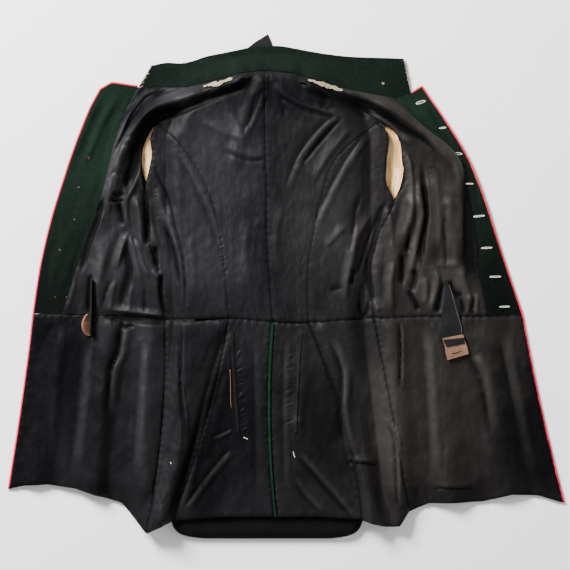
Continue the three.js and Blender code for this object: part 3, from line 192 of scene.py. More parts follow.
# Creases of the lining: path, height of a ridge or depth of a trough below zero, half width
CREASES = [
    # The roll of the right front, from its armhole to the neck
    ([
        [-299, 109], [-303, 135], [-298, 164], [-290, 194], [-274, 237], [-250, 277], [-218, 306],
        [-165, 328], [-123, 342],
    ], 4.5, 15),
    ([[-273, 140], [-256, 194], [-242, 257], [-216, 283], [-165, 301], [-111, 323], [-58, 340]], -8, 9),
    ([[-301, 215], [-284, 249], [-264, 293], [-239, 325], [-215, 334]], 2.6, 5),
    ([[-290, 215], [-273, 260], [-256, 289], [-237, 311], [-210, 328], [-174, 337]], -4, 5),
    ([[-276, 250], [-261, 252], [-245, 245]], -1.6, 4),
    ([[-278, 237], [-264, 238], [-250, 233]], -1.6, 4),
    ([[-296, 191], [-288, 192], [-279, 186]], -1.8, 4),
    ([[-301, 147], [-288, 143], [-274, 145]], -4, 6),
    ([[-295, 158], [-286, 152], [-273, 157]], -3, 7),
    ([[-283, 143], [-279, 126], [-276, 102]], -5, 6),
    ([[-245, 259], [-250, 228], [-259, 198], [-273, 164]], -7, 7),
    ([[-247, 201], [-257, 175], [-267, 155], [-271, 135], [-269, 94]], 4, 8),
    ([[-232, 232], [-239, 198], [-244, 174]], 2, 6),
    ([[-194, 296], [-147, 313], [-92, 330]], 3, 9),
    # Right front and side back below the armhole
    ([[-269, 92], [-275, 72], [-281, 53], [-288, 28]], 3.2, 6),
    ([[-267, 89], [-259, 65], [-252, 36], [-244, 2]], 3.2, 6),
    ([[-259, 82], [-248, 57], [-240, 31], [-230, 16]], 3, 5),
    ([[-269, 82], [-269, 53], [-264, 31], [-267, 11], [-276, -18], [-281, -39]], -6, 7),
    ([[-256, 155], [-249, 123], [-247, 87], [-244, 58]], 2.4, 7),
    ([[-242, 169], [-235, 136], [-233, 109], [-235, 85], [-237, 67]], -7, 6),
    ([[-233, 148], [-228, 113], [-223, 85], [-216, 67]], 3, 5),
    ([[-222, 68], [-220, 50], [-219, 31]], -5, 6),
    ([[-228, 28], [-219, 16], [-210, 26]], 2, 4),
    ([[-210, 21], [-212, -1], [-211, -23], [-206, -46]], -6, 4),
    ([[-210, 116], [-197, 83], [-190, 57], [-184, 26], [-182, 0]], -5, 6),
    ([[-218, 170], [-210, 136], [-198, 99], [-184, 58]], 2.4, 7),
    ([
        [-223, 216], [-217, 187], [-203, 157], [-188, 97], [-177, 63], [-172, 21], [-171, -23], [-174, -56],
    ], -2.4, 3.6),
    ([[-164, 87], [-157, 41], [-154, -17]], 1.6, 8),
    ([[-308, 153], [-313, 136], [-321, 107], [-332, 79], [-341, 48], [-349, 21]], -6, 8),
    ([[-290, 102], [-303, 62], [-315, 19], [-320, -23]], 3, 12),
    ([[-331, 21], [-332, -10], [-334, -46]], -7, 4.5),
    ([[-324, 14], [-320, -10], [-318, -39]], 1.6, 5),
    ([[-298, 11], [-307, -17], [-312, -39]], -2, 4),
    ([[-288, 12], [-295, -17], [-298, -42]], 1.8, 4),
    ([[-259, 4], [-264, -20], [-266, -44]], 1.8, 4),
    ([[-239, -3], [-239, -23], [-240, -46]], -1.8, 4),
    ([[-358, 11], [-364, -17], [-375, -42]], 1.6, 7),
    # The roll of the left front
    ([[54, 334], [91, 330], [134, 322], [180, 296], [220, 267], [256, 238], [288, 208], [297, 174]], 4.5, 14),
    ([[64, 334], [81, 326], [110, 306], [144, 288]], -8, 10),
    ([[110, 323], [159, 294], [195, 268], [232, 249], [256, 224]], -6, 7),
    ([[134, 294], [169, 279], [193, 255], [217, 238]], 3, 7),
    ([[197, 232], [210, 211], [214, 167], [214, 123], [207, 92], [200, 62]], 3.4, 7),
    ([[224, 215], [227, 158], [232, 123], [227, 92], [219, 56], [212, 26], [205, -6]], 3.4, 7),
    ([[212, 109], [207, 75], [207, 56]], -3, 5),
    ([[231, 218], [234, 174], [237, 152], [239, 119], [234, 87], [231, 56], [231, 29]], -6, 8),
    ([[254, 198], [258, 147], [261, 96], [258, 62]], 2.4, 9),
    ([[271, 147], [269, 107], [271, 70], [272, 24]], -1.8, 4),
    ([[282, 232], [295, 199], [300, 141], [299, 87], [305, 41]], 3, 7),
    ([[307, 194], [312, 153], [314, 104], [316, 55], [326, 17]], -8, 13),
    ([[197, 55], [199, 26], [197, 0]], -4, 6),
    ([[217, 31], [220, 11], [212, -12]], -4, 7),
    ([[207, -6], [219, -25], [226, -42]], -5, 5),
    ([[236, 28], [258, 35], [280, 35], [299, 39]], 1, 7),
    ([[246, 38], [258, 16], [256, -8], [249, -30], [246, -46]], 4, 7),
    ([[237, 17], [239, -6], [236, -34]], 2.6, 5),
    ([[300, 38], [302, 12], [309, -10], [319, -34]], 3, 7),
    ([[278, 11], [285, -8], [300, -17]], -5, 7),
    ([[268, 7], [263, -17], [258, -47]], -5, 6),
    ([[292, -10], [299, -30], [304, -51]], -3.5, 5),
    ([[312, -13], [311, -30], [305, -51]], 2.2, 4),
    ([[326, -10], [324, -30], [324, -52]], 2.2, 4),
    ([[319, -17], [317, -34], [316, -51]], -2, 4),
    ([[183, 41], [178, 4], [180, -40]], 2.4, 7),
    ([[166, 41], [164, 4], [163, -40]], -1.6, 6),
    ([[169, 133], [178, 109], [180, 48]], 2.2, 7),
    ([[173, 147], [161, 125], [155, 96], [149, 65], [142, 43], [142, 14], [147, -10], [152, -46]], -7, 5.5),
    ([[159, 124], [142, 87], [130, 48], [118, 12]], -2.4, 4),
    ([[146, 130], [136, 107], [120, 79], [113, 45], [103, 4], [98, -35]], 3.4, 8),
    ([[127, 157], [118, 128], [113, 87], [107, 56]], -3, 7),
    ([[115, 31], [112, 0]], -3, 6),
    ([[125, -6], [125, -40], [132, -52], [139, -40], [141, -15]], -3, 4),
    ([[146, -23], [159, -42]], 2.4, 6),
    # The back under the collar
    ([[-50, 324], [-57, 296], [-63, 264]], -2, 6),
    ([[-9, 323], [-4, 306], [0, 288]], -2, 6),
    ([[59, 326], [71, 314], [57, 301]], -3, 6),
    ([[67, 296], [86, 310]], -2, 5),
    ([[98, 289], [61, 247], [23, 201]], -2, 7),
    ([[112, 272], [76, 228], [44, 177]], 2, 9),
    ([[103, 104], [84, 84], [66, 65]], 1.6, 7),
    ([[96, -3], [73, -8]], -2, 7),
    ([[-140, 279], [-103, 259], [-62, 249]], 1.4, 9),
    ([[-96, 296], [-79, 266], [-72, 232]], 1.6, 8),
    ([[-6, 138], [-18, 79], [-12, 19]], 1.4, 10),
    ([[-62, 121], [-69, 62], [-63, -6]], 1.4, 10),
    # The waist seam's gaps
    ([[-312, -52], [-279, -57], [-232, -61], [-203, -63]], -6, 7),
    ([[-279, -59], [-276, -71], [-256, -66]], -4, 6),
    ([[-310, -39], [-274, -42], [-232, -47], [-208, -49]], 2.4, 5),
    # Back
    ([[-33, 332], [-47, 294], [-74, 246]], 1.4, 7),
    ([[-40, 334], [-53, 297], [-80, 249]], -1.6, 5),
    ([[-15, 331], [25, 308], [99, 288]], 1.7, 7),
    ([[-18, 325], [23, 301], [98, 281]], -2, 5),
    ([[103, 295], [65, 265], [29, 218], [5, 161]], 1.4, 8),
    ([[98, 301], [59, 270], [21, 222], [-2, 164]], -1.6, 6),
    ([[148, 262], [110, 211], [77, 150], [50, 89]], 1.6, 9),
    ([[140, 267], [103, 216], [69, 154], [41, 93]], -1.8, 7),
    ([[-107, 237], [-61, 220], [-32, 224]], 1.1, 8),
    ([[-110, 229], [-62, 212], [-31, 216]], -1.3, 6),
    ([[-182, 234], [-148, 173], [-117, 104], [-100, 43]], 1.1, 8),
    ([[-189, 230], [-155, 169], [-125, 102], [-108, 41]], -1.6, 6),
    # Skirts
    ([[-268, -55], [-275, -113], [-289, -150], [-292, -228]], 3.4, 10),
    ([[-278, -54], [-285, -111], [-298, -149], [-302, -227]], -5.9, 6),
    ([[-282, -46], [-240, -51], [-201, -55]], 0.6, 6),
    ([[-283, -52], [-240, -57], [-201, -61]], -5.2, 5),
    ([[-171, -61], [-173, -159], [-166, -244], [-159, -302]], 1.4, 6),
    ([[-177, -61], [-179, -159], [-172, -245], [-165, -302]], -3.2, 3.5),
    ([[-91, -74], [-106, -115], [-130, -196], [-145, -267], [-165, -339], [-186, -400]], 2.6, 13),
    ([[-102, -70], [-118, -111], [-141, -193], [-157, -264], [-177, -335], [-197, -396]], -8, 13),
    ([[-89, -244], [-108, -255], [-125, -261]], 1.1, 5),
    ([[-91, -240], [-110, -250], [-127, -257]], -1.8, 4),
    ([[-88, -279], [-122, -320], [-173, -387]], 1.7, 8),
    ([[-94, -274], [-128, -315], [-179, -383]], -2.6, 5),
    ([[21, -278], [72, -336], [126, -397]], 1.7, 8),
    ([[15, -283], [66, -341], [120, -402]], -2.9, 5),
    ([[17, -323], [41, -357], [68, -384]], 1.4, 7),
    ([[12, -327], [35, -361], [63, -388]], -2, 5),
    ([[80, -82], [104, -145], [101, -217], [111, -291]], 3.4, 11),
    ([[70, -86], [94, -146], [91, -217], [101, -292]], -3.2, 7),
    ([[102, -293], [129, -294], [156, -298]], 1.7, 6),
    ([[101, -299], [128, -300], [156, -304]], -2.1, 4),
    ([[198, -57], [199, -117], [198, -180]], 1.4, 6),
    ([[192, -57], [194, -117], [192, -180]], -3.9, 3.5),
    ([[178, -232], [190, -261], [193, -350], [198, -376]], 2.3, 7),
    ([[171, -235], [183, -262], [187, -350], [192, -377]], -3.2, 4.5),
    ([[248, -338], [282, -339], [322, -338]], 1.1, 5),
    ([[248, -343], [282, -344], [322, -343]], -1.8, 3.5),
    ([[-373, -66], [-390, -161], [-403, -314]], 2.3, 16),
    ([[-388, -64], [-405, -159], [-419, -312]], -2.6, 10),
    ([[-330, -93], [-340, -195], [-354, -331]], 2.3, 14),
    ([[-344, -91], [-354, -193], [-368, -329]], -2, 10),
    ([[-235, -92], [-242, -194], [-252, -330]], 2.3, 14),
    ([[-248, -91], [-255, -193], [-265, -329]], -2, 9),
    ([[244, -74], [251, -193], [257, -329]], 2.3, 13),
    ([[231, -75], [238, -194], [244, -330]], -2, 9),
    ([[322, -114], [343, -157], [360, -260]], 2.3, 14),
    ([[309, -120], [330, -160], [347, -262]], -2.9, 9),
    ([[374, -72], [397, -191], [425, -327]], 2.3, 14),
    ([[360, -75], [384, -194], [411, -330]], -2, 10),
    ([[-47, -91], [-44, -193], [-41, -363]], 1.1, 10),
    ([[-57, -91], [-54, -193], [-51, -363]], -1.3, 7),
    ([[5, -92], [2, -193], [5, -363]], 1.1, 8),
    ([[-3, -91], [-6, -193], [-3, -363]], -1.6, 6),
]

# Creases of the green facings
FACING_CREASES = [
    # The first, deep trough lies where the lining's roll shades the left facing; the facing's material paints
    # shade into its troughs.
    ([[300, 211], [314, 177], [319, 138], [326, 92], [331, 48]], -6, 14),
    ([[-322, 133], [-332, 102], [-344, 68], [-356, 31], [-364, -3]], -2.5, 6),
    ([[200, 310], [220, 284], [248, 266], [278, 243]], -2.5, 7),
    ([[-295, 320], [-317, 289], [-327, 269], [-339, 238], [-351, 216], [-366, 184]], -3.2, 6),
    ([[-281, 334], [-305, 289], [-318, 262], [-330, 232], [-344, 204]], 2.2, 8),
    ([[-310, 330], [-329, 293], [-344, 259], [-361, 218]], 1.6, 8),
    ([[-269, 328], [-288, 293], [-303, 255], [-315, 204]], -1.8, 6),
    ([[-318, 198], [-329, 164], [-344, 123]], 1.2, 9),
    ([[-388, 126], [-385, 79], [-397, 45], [-402, -17]], -2.6, 7),
    ([[-375, 82], [-381, 51], [-392, 17]], 1.2, 7),
    ([[-354, 153], [-363, 119], [-373, 85]], -1.2, 7),
    ([[-361, 62], [-371, 24], [-388, -23]], 1.0, 8),
    ([[234, 323], [261, 276], [285, 232]], -1.4, 6),
    ([[220, 323], [248, 279], [273, 238]], 1, 7),
    ([[339, 31], [350, 0], [360, -30]], -0.9, 6),
    ([[326, 140], [336, 96], [348, 45]], -0.8, 8),
]

# Cloth drawn up along stitching: path, half width, spacing, height
PUCKERS = [
    ([[-217, 170], [-221, 147], [-217, 109]], 8, 5, 0.9),
    ([[-195, 253], [-158, 212], [-140, 170], [-119, 126]], 8, 6, 0.5),
    ([[-113, 99], [-108, 58], [-103, 14]], 10, 6, 1.1),
    ([[134, 258], [95, 228], [76, 194], [56, 141]], 8, 6, 0.5),
    ([[244, 218], [246, 196], [249, 174]], 8, 5, 1.1),
    ([[-276, -23], [-254, -27], [-232, -30]], 14, 6, 1),
    ([[-188, -42], [-147, -42], [-103, -39]], 12, 8, 0.8),
    ([[-79, -42], [-24, -46], [33, -44]], 12, 9, 0.6),
    ([[180, -39], [244, -37], [309, -37]], 12, 8, 1),
    ([[-368, -63], [-317, -63], [-279, -68]], 12, 8, 0.8),
    ([[-188, -78], [-147, -76], [-103, -71]], 10, 8, 0.8),
    ([[166, -69], [244, -68], [333, -66]], 12, 8, 0.9),
    ([[-80, -91], [-79, -146], [-75, -193], [-69, -255]], 11, 9, 1.3),
    ([[10, -100], [6, -146], [5, -193], [6, -255]], 12, 8, 1.3),
    ([[-31, -74], [-35, -193], [-31, -363]], 7, 12, 0.5),
    ([[227, -358], [254, -362], [282, -360]], 9, 7, 1),
    ([[-385, -329], [-334, -340], [-296, -353]], 8, 9, 0.7),
]

# Patches of the lining's colour at points in plan: below zero painted shade, above zero paler satin. Place,
# reach across and up, amount
PALE_AND_SHADE_PATCHES = [
    ([-453, -261], (90, 260), -1.3),
    ([-405, -108], (90, 120), -0.9),
    ([-317, -244], (90, 190), -0.35),
    ([-232, -193], (60, 200), 0.15),
    ([-138, -261], (50, 190), -1.0),
    ([-104, -193], (34, 150), -0.4),
    ([-70, -261], (60, 200), -0.25),
    ([57, -261], (80, 180), -0.3),
    ([168, -244], (70, 200), 0.5),
    ([261, -193], (110, 170), 0.15),
    ([431, -261], (90, 180), -0.5),
    ([316, 113], (34, 150), -0.8),
    ([193, 300], (110, 50), -0.4),
    ([74, 323], (90, 34), -0.4),
    ([-245, 303], (56, 66), -1.0),
    ([-121, 198], (110, 130), 0.4),
    ([-147, 45], (120, 100), 0.3),
    ([-31, 147], (40, 260), -0.15),
    ([74, 113], (110, 170), 0.3),
    ([142, 62], (50, 120), 0.35),
    ([261, 104], (100, 150), 0.3),
    ([261, -6], (90, 60), 0.3),
    ([-300, 62], (80, 120), 0.25),
    ([-28, 325], (200, 50), -0.4),
]

# Buttonholes of the left facing: middle, length, how far they gape, turn in degrees from +x
BUTTONHOLES = [
    ([229, 313], 17, 4, 18), ([266, 269], 12, 2, 8), ([292, 225], 15, 3.2, 0), ([312, 174], 13, 1.2, 0),
    ([328, 119], 20, 1.9, 6), ([341, 65], 19, 2, 3), ([356, 16], 20, 1.9, 2), ([372, -35], 18, 1.6, 2),
]

# Room between layers, how far panels stop short of their seams, and how high linings lie above the wool
LAYER_GAP = 0.6
SEAM_INSET = 0.2
ALL_ROUND = (SEAM_INSET,) * 4
SATIN_LOFT = 4.2
FACING_LOFT = 1.6

# Creases: depth against their table, the wide side's reach in half widths, the steep side's least reach,
# and the share of their length over which they fade at each end
CREASE_DEPTH = 1.45
GENTLE_SIDE = 2.1
STEEP_SIDE = 4.6
CREASE_FADE = 0.25
PUCKER_FADE = 0.1
PUCKER_SLANT = 22

# How deep the cloth sinks at its seams and how far from them, and the same for the small puckers there
SEAM_DEPTH, SEAM_REACH = 1.6, 6
SEAM_PUCKER, SEAM_PUCKER_REACH = 0.35, 16

# Cell sizes of the meshes, and the lengths in plan that set how many rows a panel has
SHELL_CELL, FACING_CELL = 7, 3.5
SKIRT_RUN, BODY_RUN = 345, 415
COLLAR_CELLS = (150, 22)


def size_property(name, description, default, low, high):
    return FloatProperty(name=name, description=f"{description}, mm", default=default, min=low, max=high)


def colour_property(name, description, default):
    return FloatVectorProperty(
        name=name, description=description, default=default, subtype="COLOR", min=0, max=1
    )


class TunicSizes(bpy.types.PropertyGroup):
    wool: size_property("Wool", "Thickness of the outer wool", 2.2, 1, 4)
    facing: size_property("Facing", "Thickness of the facings", 1.8, 1, 3)
    lining: size_property("Lining", "Thickness of the lining", 1.1, 0.6, 2)
    piping: size_property("Piping", "Radius of the piping", 2.0, 0.8, 3)
    cell: size_property("Lining mesh", "Cell size of the lining's mesh", 2.6, 2, 12)
    creases: FloatProperty(
        name="Creases", description="Depth of the creases", default=1, min=0, max=1.5, subtype="FACTOR"
    )


class TunicColours(bpy.types.PropertyGroup):
    wool: colour_property("Wool", "Outer wool", (0.0028, 0.0075, 0.0047))
    facing: colour_property("Facing", "Facing wool", (0.0028, 0.0095, 0.0056))
    satin: colour_property("Lining", "Satin lining", (0.0018, 0.0018, 0.0023))
    # The two paler lining colours stand for wear and for painted highlight on ridges; the browner one also
    # paints side light on the left front, together with fading.
    satin_worn_and_lit: colour_property("Worn lining", "Rubbed satin", (0.0132, 0.0132, 0.0145))
    satin_faded_and_lit: colour_property("Rusty lining", "Rubbed and faded satin", (0.0205, 0.0172, 0.0152))
    cream: colour_property("Sleeve lining", "Cotton in the sleeves", (1.0, 0.66, 0.33))
    scarlet: colour_property("Piping", "Piping wool", (0.80, 0.02, 0.062))
    leather: colour_property("Leather", "Hook tabs", (0.19, 0.088, 0.05))
    gilt: colour_property("Buttons", "Gilt buttons", (0.62, 0.40, 0.14))


def through(points, t):
    """Points on a smooth curve through the given ones, with t counted in points"""
    p = np.asarray(points, float)
    i = np.clip(np.floor(t).astype(int), 0, len(p) - 2)
    f = (t - i)[:, None]
    a, b, c, d = (p[np.clip(i + k, 0, len(p) - 1)] for k in (-1, 0, 1, 2))
    return 0.5 * (2 * b + (c - a) * f + (2 * a - 5 * b + 4 * c - d) * f**2 + (3 * b - a - 3 * c + d) * f**3)


def along_curve(points, count):
    """A number of points spaced along the smooth curve through the given ones"""
    return through(points, np.linspace(0, len(points) - 1, count))


def smooth(t):
    return t * t * (3 - 2 * t)


def fade_at_ends(along, share):
    """From 0 at both ends of a path to 1 over a share of its length"""
    return smooth(np.clip(along / share, 0, 1)) * smooth(np.clip((1 - along) / share, 0, 1))


def seam_y(seam, x):
    xs, ys = zip(*seam)
    return np.interp(x, xs, ys)


def skirt_points(a, b, t, levels):
    """Points between skirt lines a and b. Rows bend with the hem below and the waist seam above."""
    (hem_a, mid_a, waist_a), (hem_b, mid_b, waist_b) = SKIRT_LINES[a], SKIRT_LINES[b]
    hem, mid, waist = (p + (q - p) * t for p, q in ((hem_a, hem_b), (mid_a, mid_b), (waist_a, waist_b)))
    x = (2 * (hem + waist) - 4 * mid) * levels**2 + (4 * mid - 3 * hem - waist) * levels + hem
    low, high = seam_y(HEM, hem), seam_y(WAIST, waist)
    return np.stack([x, low + (high - low) * levels], axis=-1)


def gape(name, levels, side):
    """How far a side line gives way to its armhole, along x, on the front's side or on the back's"""
    if name not in ARMHOLES or not side:
        return np.zeros(levels.shape)
    table = np.array(ARMHOLES[name], float)
    share = np.interp(levels, table[:, 0], np.arange(len(table)))
    by = through(table[:, 1:], share)[:, 0 if side == "front" else 1]
    by = np.where((levels > UNDERARM_LEVEL) & (levels < SHOULDER_LEVEL), np.clip(by, 0, None), 0)
    outward = -1 if name == "sideR" else 1
    return by * (outward if side == "front" else -outward)


def body_points(name, levels, side=""):
    """Points of a line above the waist. side says which side of an armhole a side line follows."""
    waist = SKIRT_LINES[name][2]
    line = [(waist, seam_y(WAIST, waist)), *BODY_LINES[name]]
    if name not in MEETS_AT_SHOULDER:
        points = through(line, levels - WAIST_LEVEL)
        points[:, 0] += gape(name, levels, side)
        return points
    points = through(line, np.minimum(levels, SIDE_BACK_TOP) - WAIST_LEVEL)
    shoulder = body_points(MEETS_AT_SHOULDER[name], np.maximum(levels, SHOULDER_LEVEL))
    t = np.clip((levels - SIDE_BACK_TOP) / (SHOULDER_LEVEL - SIDE_BACK_TOP), 0, 1)[:, None]
    return points + (shoulder - points) * t


STRETCHES = {
    "frontR": (["edgeR", "buttonR", "facingR", "chestR", "sideR"], "front"),
    "back": (["sideR", "princessR", "centre", "princessL", "sideL"], "back"),
    "frontL": (["sideL", "chestL", "facingL", "buttonL", "edgeL"], "front"),
}


def plan_grid(stretch, first, last, skirt, cell, inset=ALL_ROUND):
    """Points in plan of a panel, rows from its low seam up and columns from its first line to its last.
    inset is how far it stops short of its low, high, first and last edge."""
    lines, side = STRETCHES[stretch]
    lines = lines[lines.index(first) : lines.index(last) + 1]
    rows = max(8, round((SKIRT_RUN if skirt else BODY_RUN) / cell))
    side_back = {first, last} in ({"sideR", "princessR"}, {"princessL", "sideL"})
    top = SIDE_BACK_TOP if side_back else NECK_LEVEL
    levels = np.linspace(0, 1, rows + 1) if skirt else np.linspace(WAIST_LEVEL, top, rows + 1)
    columns = []
    for a, b in zip(lines, lines[1:]):
        if skirt:
            width = max(abs(q - p) for p, q in zip(SKIRT_LINES[a], SKIRT_LINES[b]))
        else:
            ends = [body_points(name, levels, side) for name in (a, b)]
            width = np.hypot(*(ends[1] - ends[0]).T).max()
        steps = max(1, round(width / cell))
        for t in np.linspace(0, 1, steps + 1)[: None if b == last else -1]:
            if skirt:
                columns.append(skirt_points(a, b, t, levels))
            else:
                columns.append(ends[0] + (ends[1] - ends[0]) * t)
    grid = np.stack(columns, axis=1)
    low, high, start, end = inset
    for on_edge, next_in, by in (
        (np.s_[:, 0], np.s_[:, 1], start),
        (np.s_[:, -1], np.s_[:, -2], end),
        (np.s_[0], np.s_[1], low),
        (np.s_[-1], np.s_[-2], high),
    ):
        step = grid[next_in] - grid[on_edge]
        length = np.maximum(np.linalg.norm(step, axis=-1, keepdims=True), 1e-6)
        grid[on_edge] = grid[on_edge] + step / length * np.minimum(by, 0.8 * length)
    return grid


def depth_inside(outline, x, y):
    """Distance in plan to an outline, above zero inside"""
    nearest = np.full(x.shape, np.inf)
    inside = np.zeros(x.shape, bool)
    for (ax, ay), (bx, by) in zip(outline, outline[1:] + outline[:1]):
        t = np.clip(((x - ax) * (bx - ax) + (y - ay) * (by - ay)) / ((bx - ax) ** 2 + (by - ay) ** 2), 0, 1)
        nearest = np.minimum(nearest, np.hypot(x - ax - (bx - ax) * t, y - ay - (by - ay) * t))
        if ay != by:
            inside ^= ((ay > y) != (by > y)) & (x < ax + (y - ay) * (bx - ax) / (by - ay))
    return np.where(inside, nearest, -nearest)


# Outlines in plan of what lies under the cloth, and how far round it the cloth is still up or comes down
FORM_EDGE = [(FORM_MIDDLE + half, y) for y, half, _ in FORM_OUTLINE]
FORM_EDGE += [(FORM_MIDDLE - half, y) for y, half, _ in FORM_OUTLINE[::-1]]
SLEEVE_EDGES = {side: [r[0] for r in rows] + [r[1] for r in rows[::-1]] for side, rows in SLEEVES.items()}
FORM_SHELF, SLEEVE_SHELF, DRAPE_RUN = 10, 12, 42


def drape(depth, shelf):
    return smooth(np.clip((depth + shelf + DRAPE_RUN) / DRAPE_RUN, 0, 1))


def near_path(path, x, y, reach):
    """For points near a path: a mask of them, their distance to its left, and how far along they are"""
    points = np.asarray(path, float)
    (x0, y0), (x1, y1) = points.min(axis=0) - reach, points.max(axis=0) + reach
    mask = (x > x0) & (x < x1) & (y > y0) & (y < y1)
    px, py = x[mask], y[mask]
    distance = np.full(px.shape, np.inf)
    signed = np.zeros(px.shape)
    along = np.zeros(px.shape)
    for i, ((ax, ay), (bx, by)) in enumerate(zip(points, points[1:])):
        dx, dy = bx - ax, by - ay
        t = np.clip(((px - ax) * dx + (py - ay) * dy) / (dx * dx + dy * dy), 0, 1)
        ox, oy = px - ax - dx * t, py - ay - dy * t
        d = np.hypot(ox, oy)
        closer = d < distance
        distance = np.where(closer, d, distance)
        signed = np.where(closer, d * np.sign(dx * oy - dy * ox), signed)
        along = np.where(closer, (i + t) / (len(points) - 1), along)
    return mask, signed, along


def fold_height(fold, x, y):
    path, (h0, h1), (w0, w1), lean = fold
    result = np.zeros(x.shape)
    mask, signed, along = near_path(path, x, y, max(w0, w1))
    reach = (w0 + (w1 - w0) * along) * np.where(signed * lean > 0, 0.55, 1)
    result[mask] = (h0 + (h1 - h0) * along) * smooth(np.clip(1 - np.abs(signed) / reach, 0, 1))
    return result


def bell(q):
    return np.clip(1 - q * q, 0, None) ** 2


def crease_height(creases, x, y):
    """Ridges and troughs of the given creases. Each fades out at its ends, and falls more
    gently towards the far left than towards the near right."""
    result = np.zeros(x.shape)
    for path, height, half in creases:
        fine = along_curve(path, 5 * len(path))
        mask, signed, along = near_path(fine, x, y, max(GENTLE_SIDE * half, STEEP_SIDE))
        run = fine[-1] - fine[0]
        gentle_left = run[1] + run[0] > 0
        side = signed if gentle_left else -signed
        fade = fade_at_ends(along, CREASE_FADE)
        reach = np.where(side > 0, GENTLE_SIDE * half, max(0.9 * half, STEEP_SIDE))
        q = np.clip(np.abs(side) / reach, 0, 1)
        profile = 0.6 * bell(q) + 0.4 * (1 - q) ** 2 if height > 0 else (1 - q) ** 2
        result[mask] += CREASE_DEPTH * height * fade * profile
    return result


def pucker_height(x, y):
    """Uneven small waves that run along a stitched path, slanting a little across it"""
    result = np.zeros(x.shape)
    for path, half, spacing, height in PUCKERS:
        fine = along_curve(path, 5 * len(path))
        length = np.linalg.norm(np.diff(fine, axis=0), axis=-1).sum()
        mask, signed, along = near_path(fine, x, y, 1.1 * half)
        fade = fade_at_ends(along, PUCKER_FADE)
        run = along * length / spacing
        wave = np.sin(2 * np.pi * (run + 0.6 * np.sin(0.83 * run) + signed / PUCKER_SLANT))
        wave *= 0.55 + 0.45 * np.sin(2.3 * run + 1.1)
        reach = half * (0.75 + 0.35 * np.sin(1.7 * run))
        result[mask] += height * fade * wave * bell(np.clip(np.abs(signed) / reach, 0, 1))
    return result


# Patches of painted shade (below zero) and of paler satin (above zero), summed at points in plan
def pale_and_shade_patches(x, y):
    total = np.zeros(x.shape)
    for (cx, cy), (across, up), amount in PALE_AND_SHADE_PATCHES:
        total += amount * bell(np.clip(np.hypot((x - cx) / across, (y - cy) / up), 0, 1))
    return total


def button_places():
    levels = np.linspace(*BUTTON_LEVELS, BUTTONS)
    return [(x + BUTTON_FROM_EDGE, y) for x, y in body_points("edgeR", levels)]


def lift(x, y):
    """What raises the underside of the cloth"""
    over = (FORM_HEIGHT + CLOTH_CLEARANCE) * drape(depth_inside(FORM_EDGE, x, y), FORM_SHELF)
    sleeve_top = SLEEVE_HEIGHT + CLOTH_CLEARANCE
    for edge in SLEEVE_EDGES.values():
        over = np.maximum(over, sleeve_top * drape(depth_inside(edge, x, y), SLEEVE_SHELF))
    button_top = BUTTON_HEIGHT + BUTTON_CLEARANCE
    buttons = fold_height((button_places(), (1, 1), (BUTTON_REACH, BUTTON_REACH), 0), x, y)
    over = np.maximum(over, np.minimum(button_top * 1.3 * buttons, button_top))
    return over + sum(fold_height(fold, x, y) for fold in DEEP_FOLDS)


def puff(x, y):
    """Soft swells of the lining alone"""
    return sum(fold_height(fold, x, y) for fold in SOFT_FOLDS)


def crumple(x, y, scale, seed):
    """Small soft wrinkles from -1 to 1, the same each run"""
    flat = zip(x.ravel() / scale, y.ravel() / scale)
    values = [noise.fractal(Vector((a, b, seed)), 0.9, 2.1, 3) for a, b in flat]
    return np.array(values).reshape(x.shape)


def stretched_crumple(x, y, scale, stretch, turn, seed):
    """Wrinkles drawn out along a direction, turn in degrees from +y"""
    c, s = math.cos(math.radians(turn)), math.sin(math.radians(turn))
    return crumple((x * c + y * s) * stretch, (y * c - x * s), scale, seed)


def creased_crumple(x, y, scale, stretch, turn, seed):
    """The same wrinkles with sharp crests, up to 1"""
    return 1 - 3.2 * np.abs(stretched_crumple(x, y, scale, stretch, turn, seed))


def seam_dip(grid, start, end, low, high):
    """How far the cloth sinks and puckers towards its seams, from a grid in plan"""
    def arc(axis):
        step = np.linalg.norm(np.diff(grid, axis=axis), axis=-1)
        return np.concatenate([np.zeros_like(step.take([0], axis)), np.cumsum(step, axis)], axis)

    across, along = arc(1), arc(0)
    dips = np.zeros(grid.shape[:2])
    for on, distance, run in (
        (start, across, along),
        (end, across[:, -1:] - across, along),
        (low, along, across),
        (high, along[-1:] - along, across),
    ):
        if on:
            dips += SEAM_DEPTH * on * (1 - np.clip(distance / SEAM_REACH, 0, 1)) ** 2
            pucker = np.sin(run / 2.1 + 2.4 * np.sin(run / 23) + distance / 9)
            dips += SEAM_PUCKER * on * pucker * (1 - np.clip(distance / SEAM_PUCKER_REACH, 0, 1)) ** 2
    return dips


def sheet_mesh(points, marks={}):
    """An open sheet through a grid of points in millimetres, shape (rows, columns, 3).
    marks are named values of each point that its material reads."""
    rows, columns = points.shape[:2]
    bm = bmesh.new()
    bmesh.ops.create_grid(bm, x_segments=columns - 1, y_segments=rows - 1, size=1)
    layers = {name: bm.verts.layers.float.new(name) for name in marks}
    for v in bm.verts:
        i = round((v.co.x + 1) / 2 * (columns - 1))
        j = round((v.co.y + 1) / 2 * (rows - 1))
        v.co = Vector(points[j, i]) * MM
        for name, layer in layers.items():
            v[layer] = marks[name][j, i]
    return bm


def tube_mesh(rings, cap):
    """A tube through rings of points, shape (rings, points, 3), with closed ends if cap is set"""
    wrapped = np.concatenate([rings, rings[:, :1]], axis=1)
    bm = sheet_mesh(wrapped)
    bmesh.ops.remove_doubles(bm, verts=bm.verts[:], dist=1e-6)
    if cap:
        bmesh.ops.holes_fill(bm, edges=[e for e in bm.edges if e.is_boundary], sides=0)
    bmesh.ops.recalc_face_normals(bm, faces=bm.faces[:])
    return bm


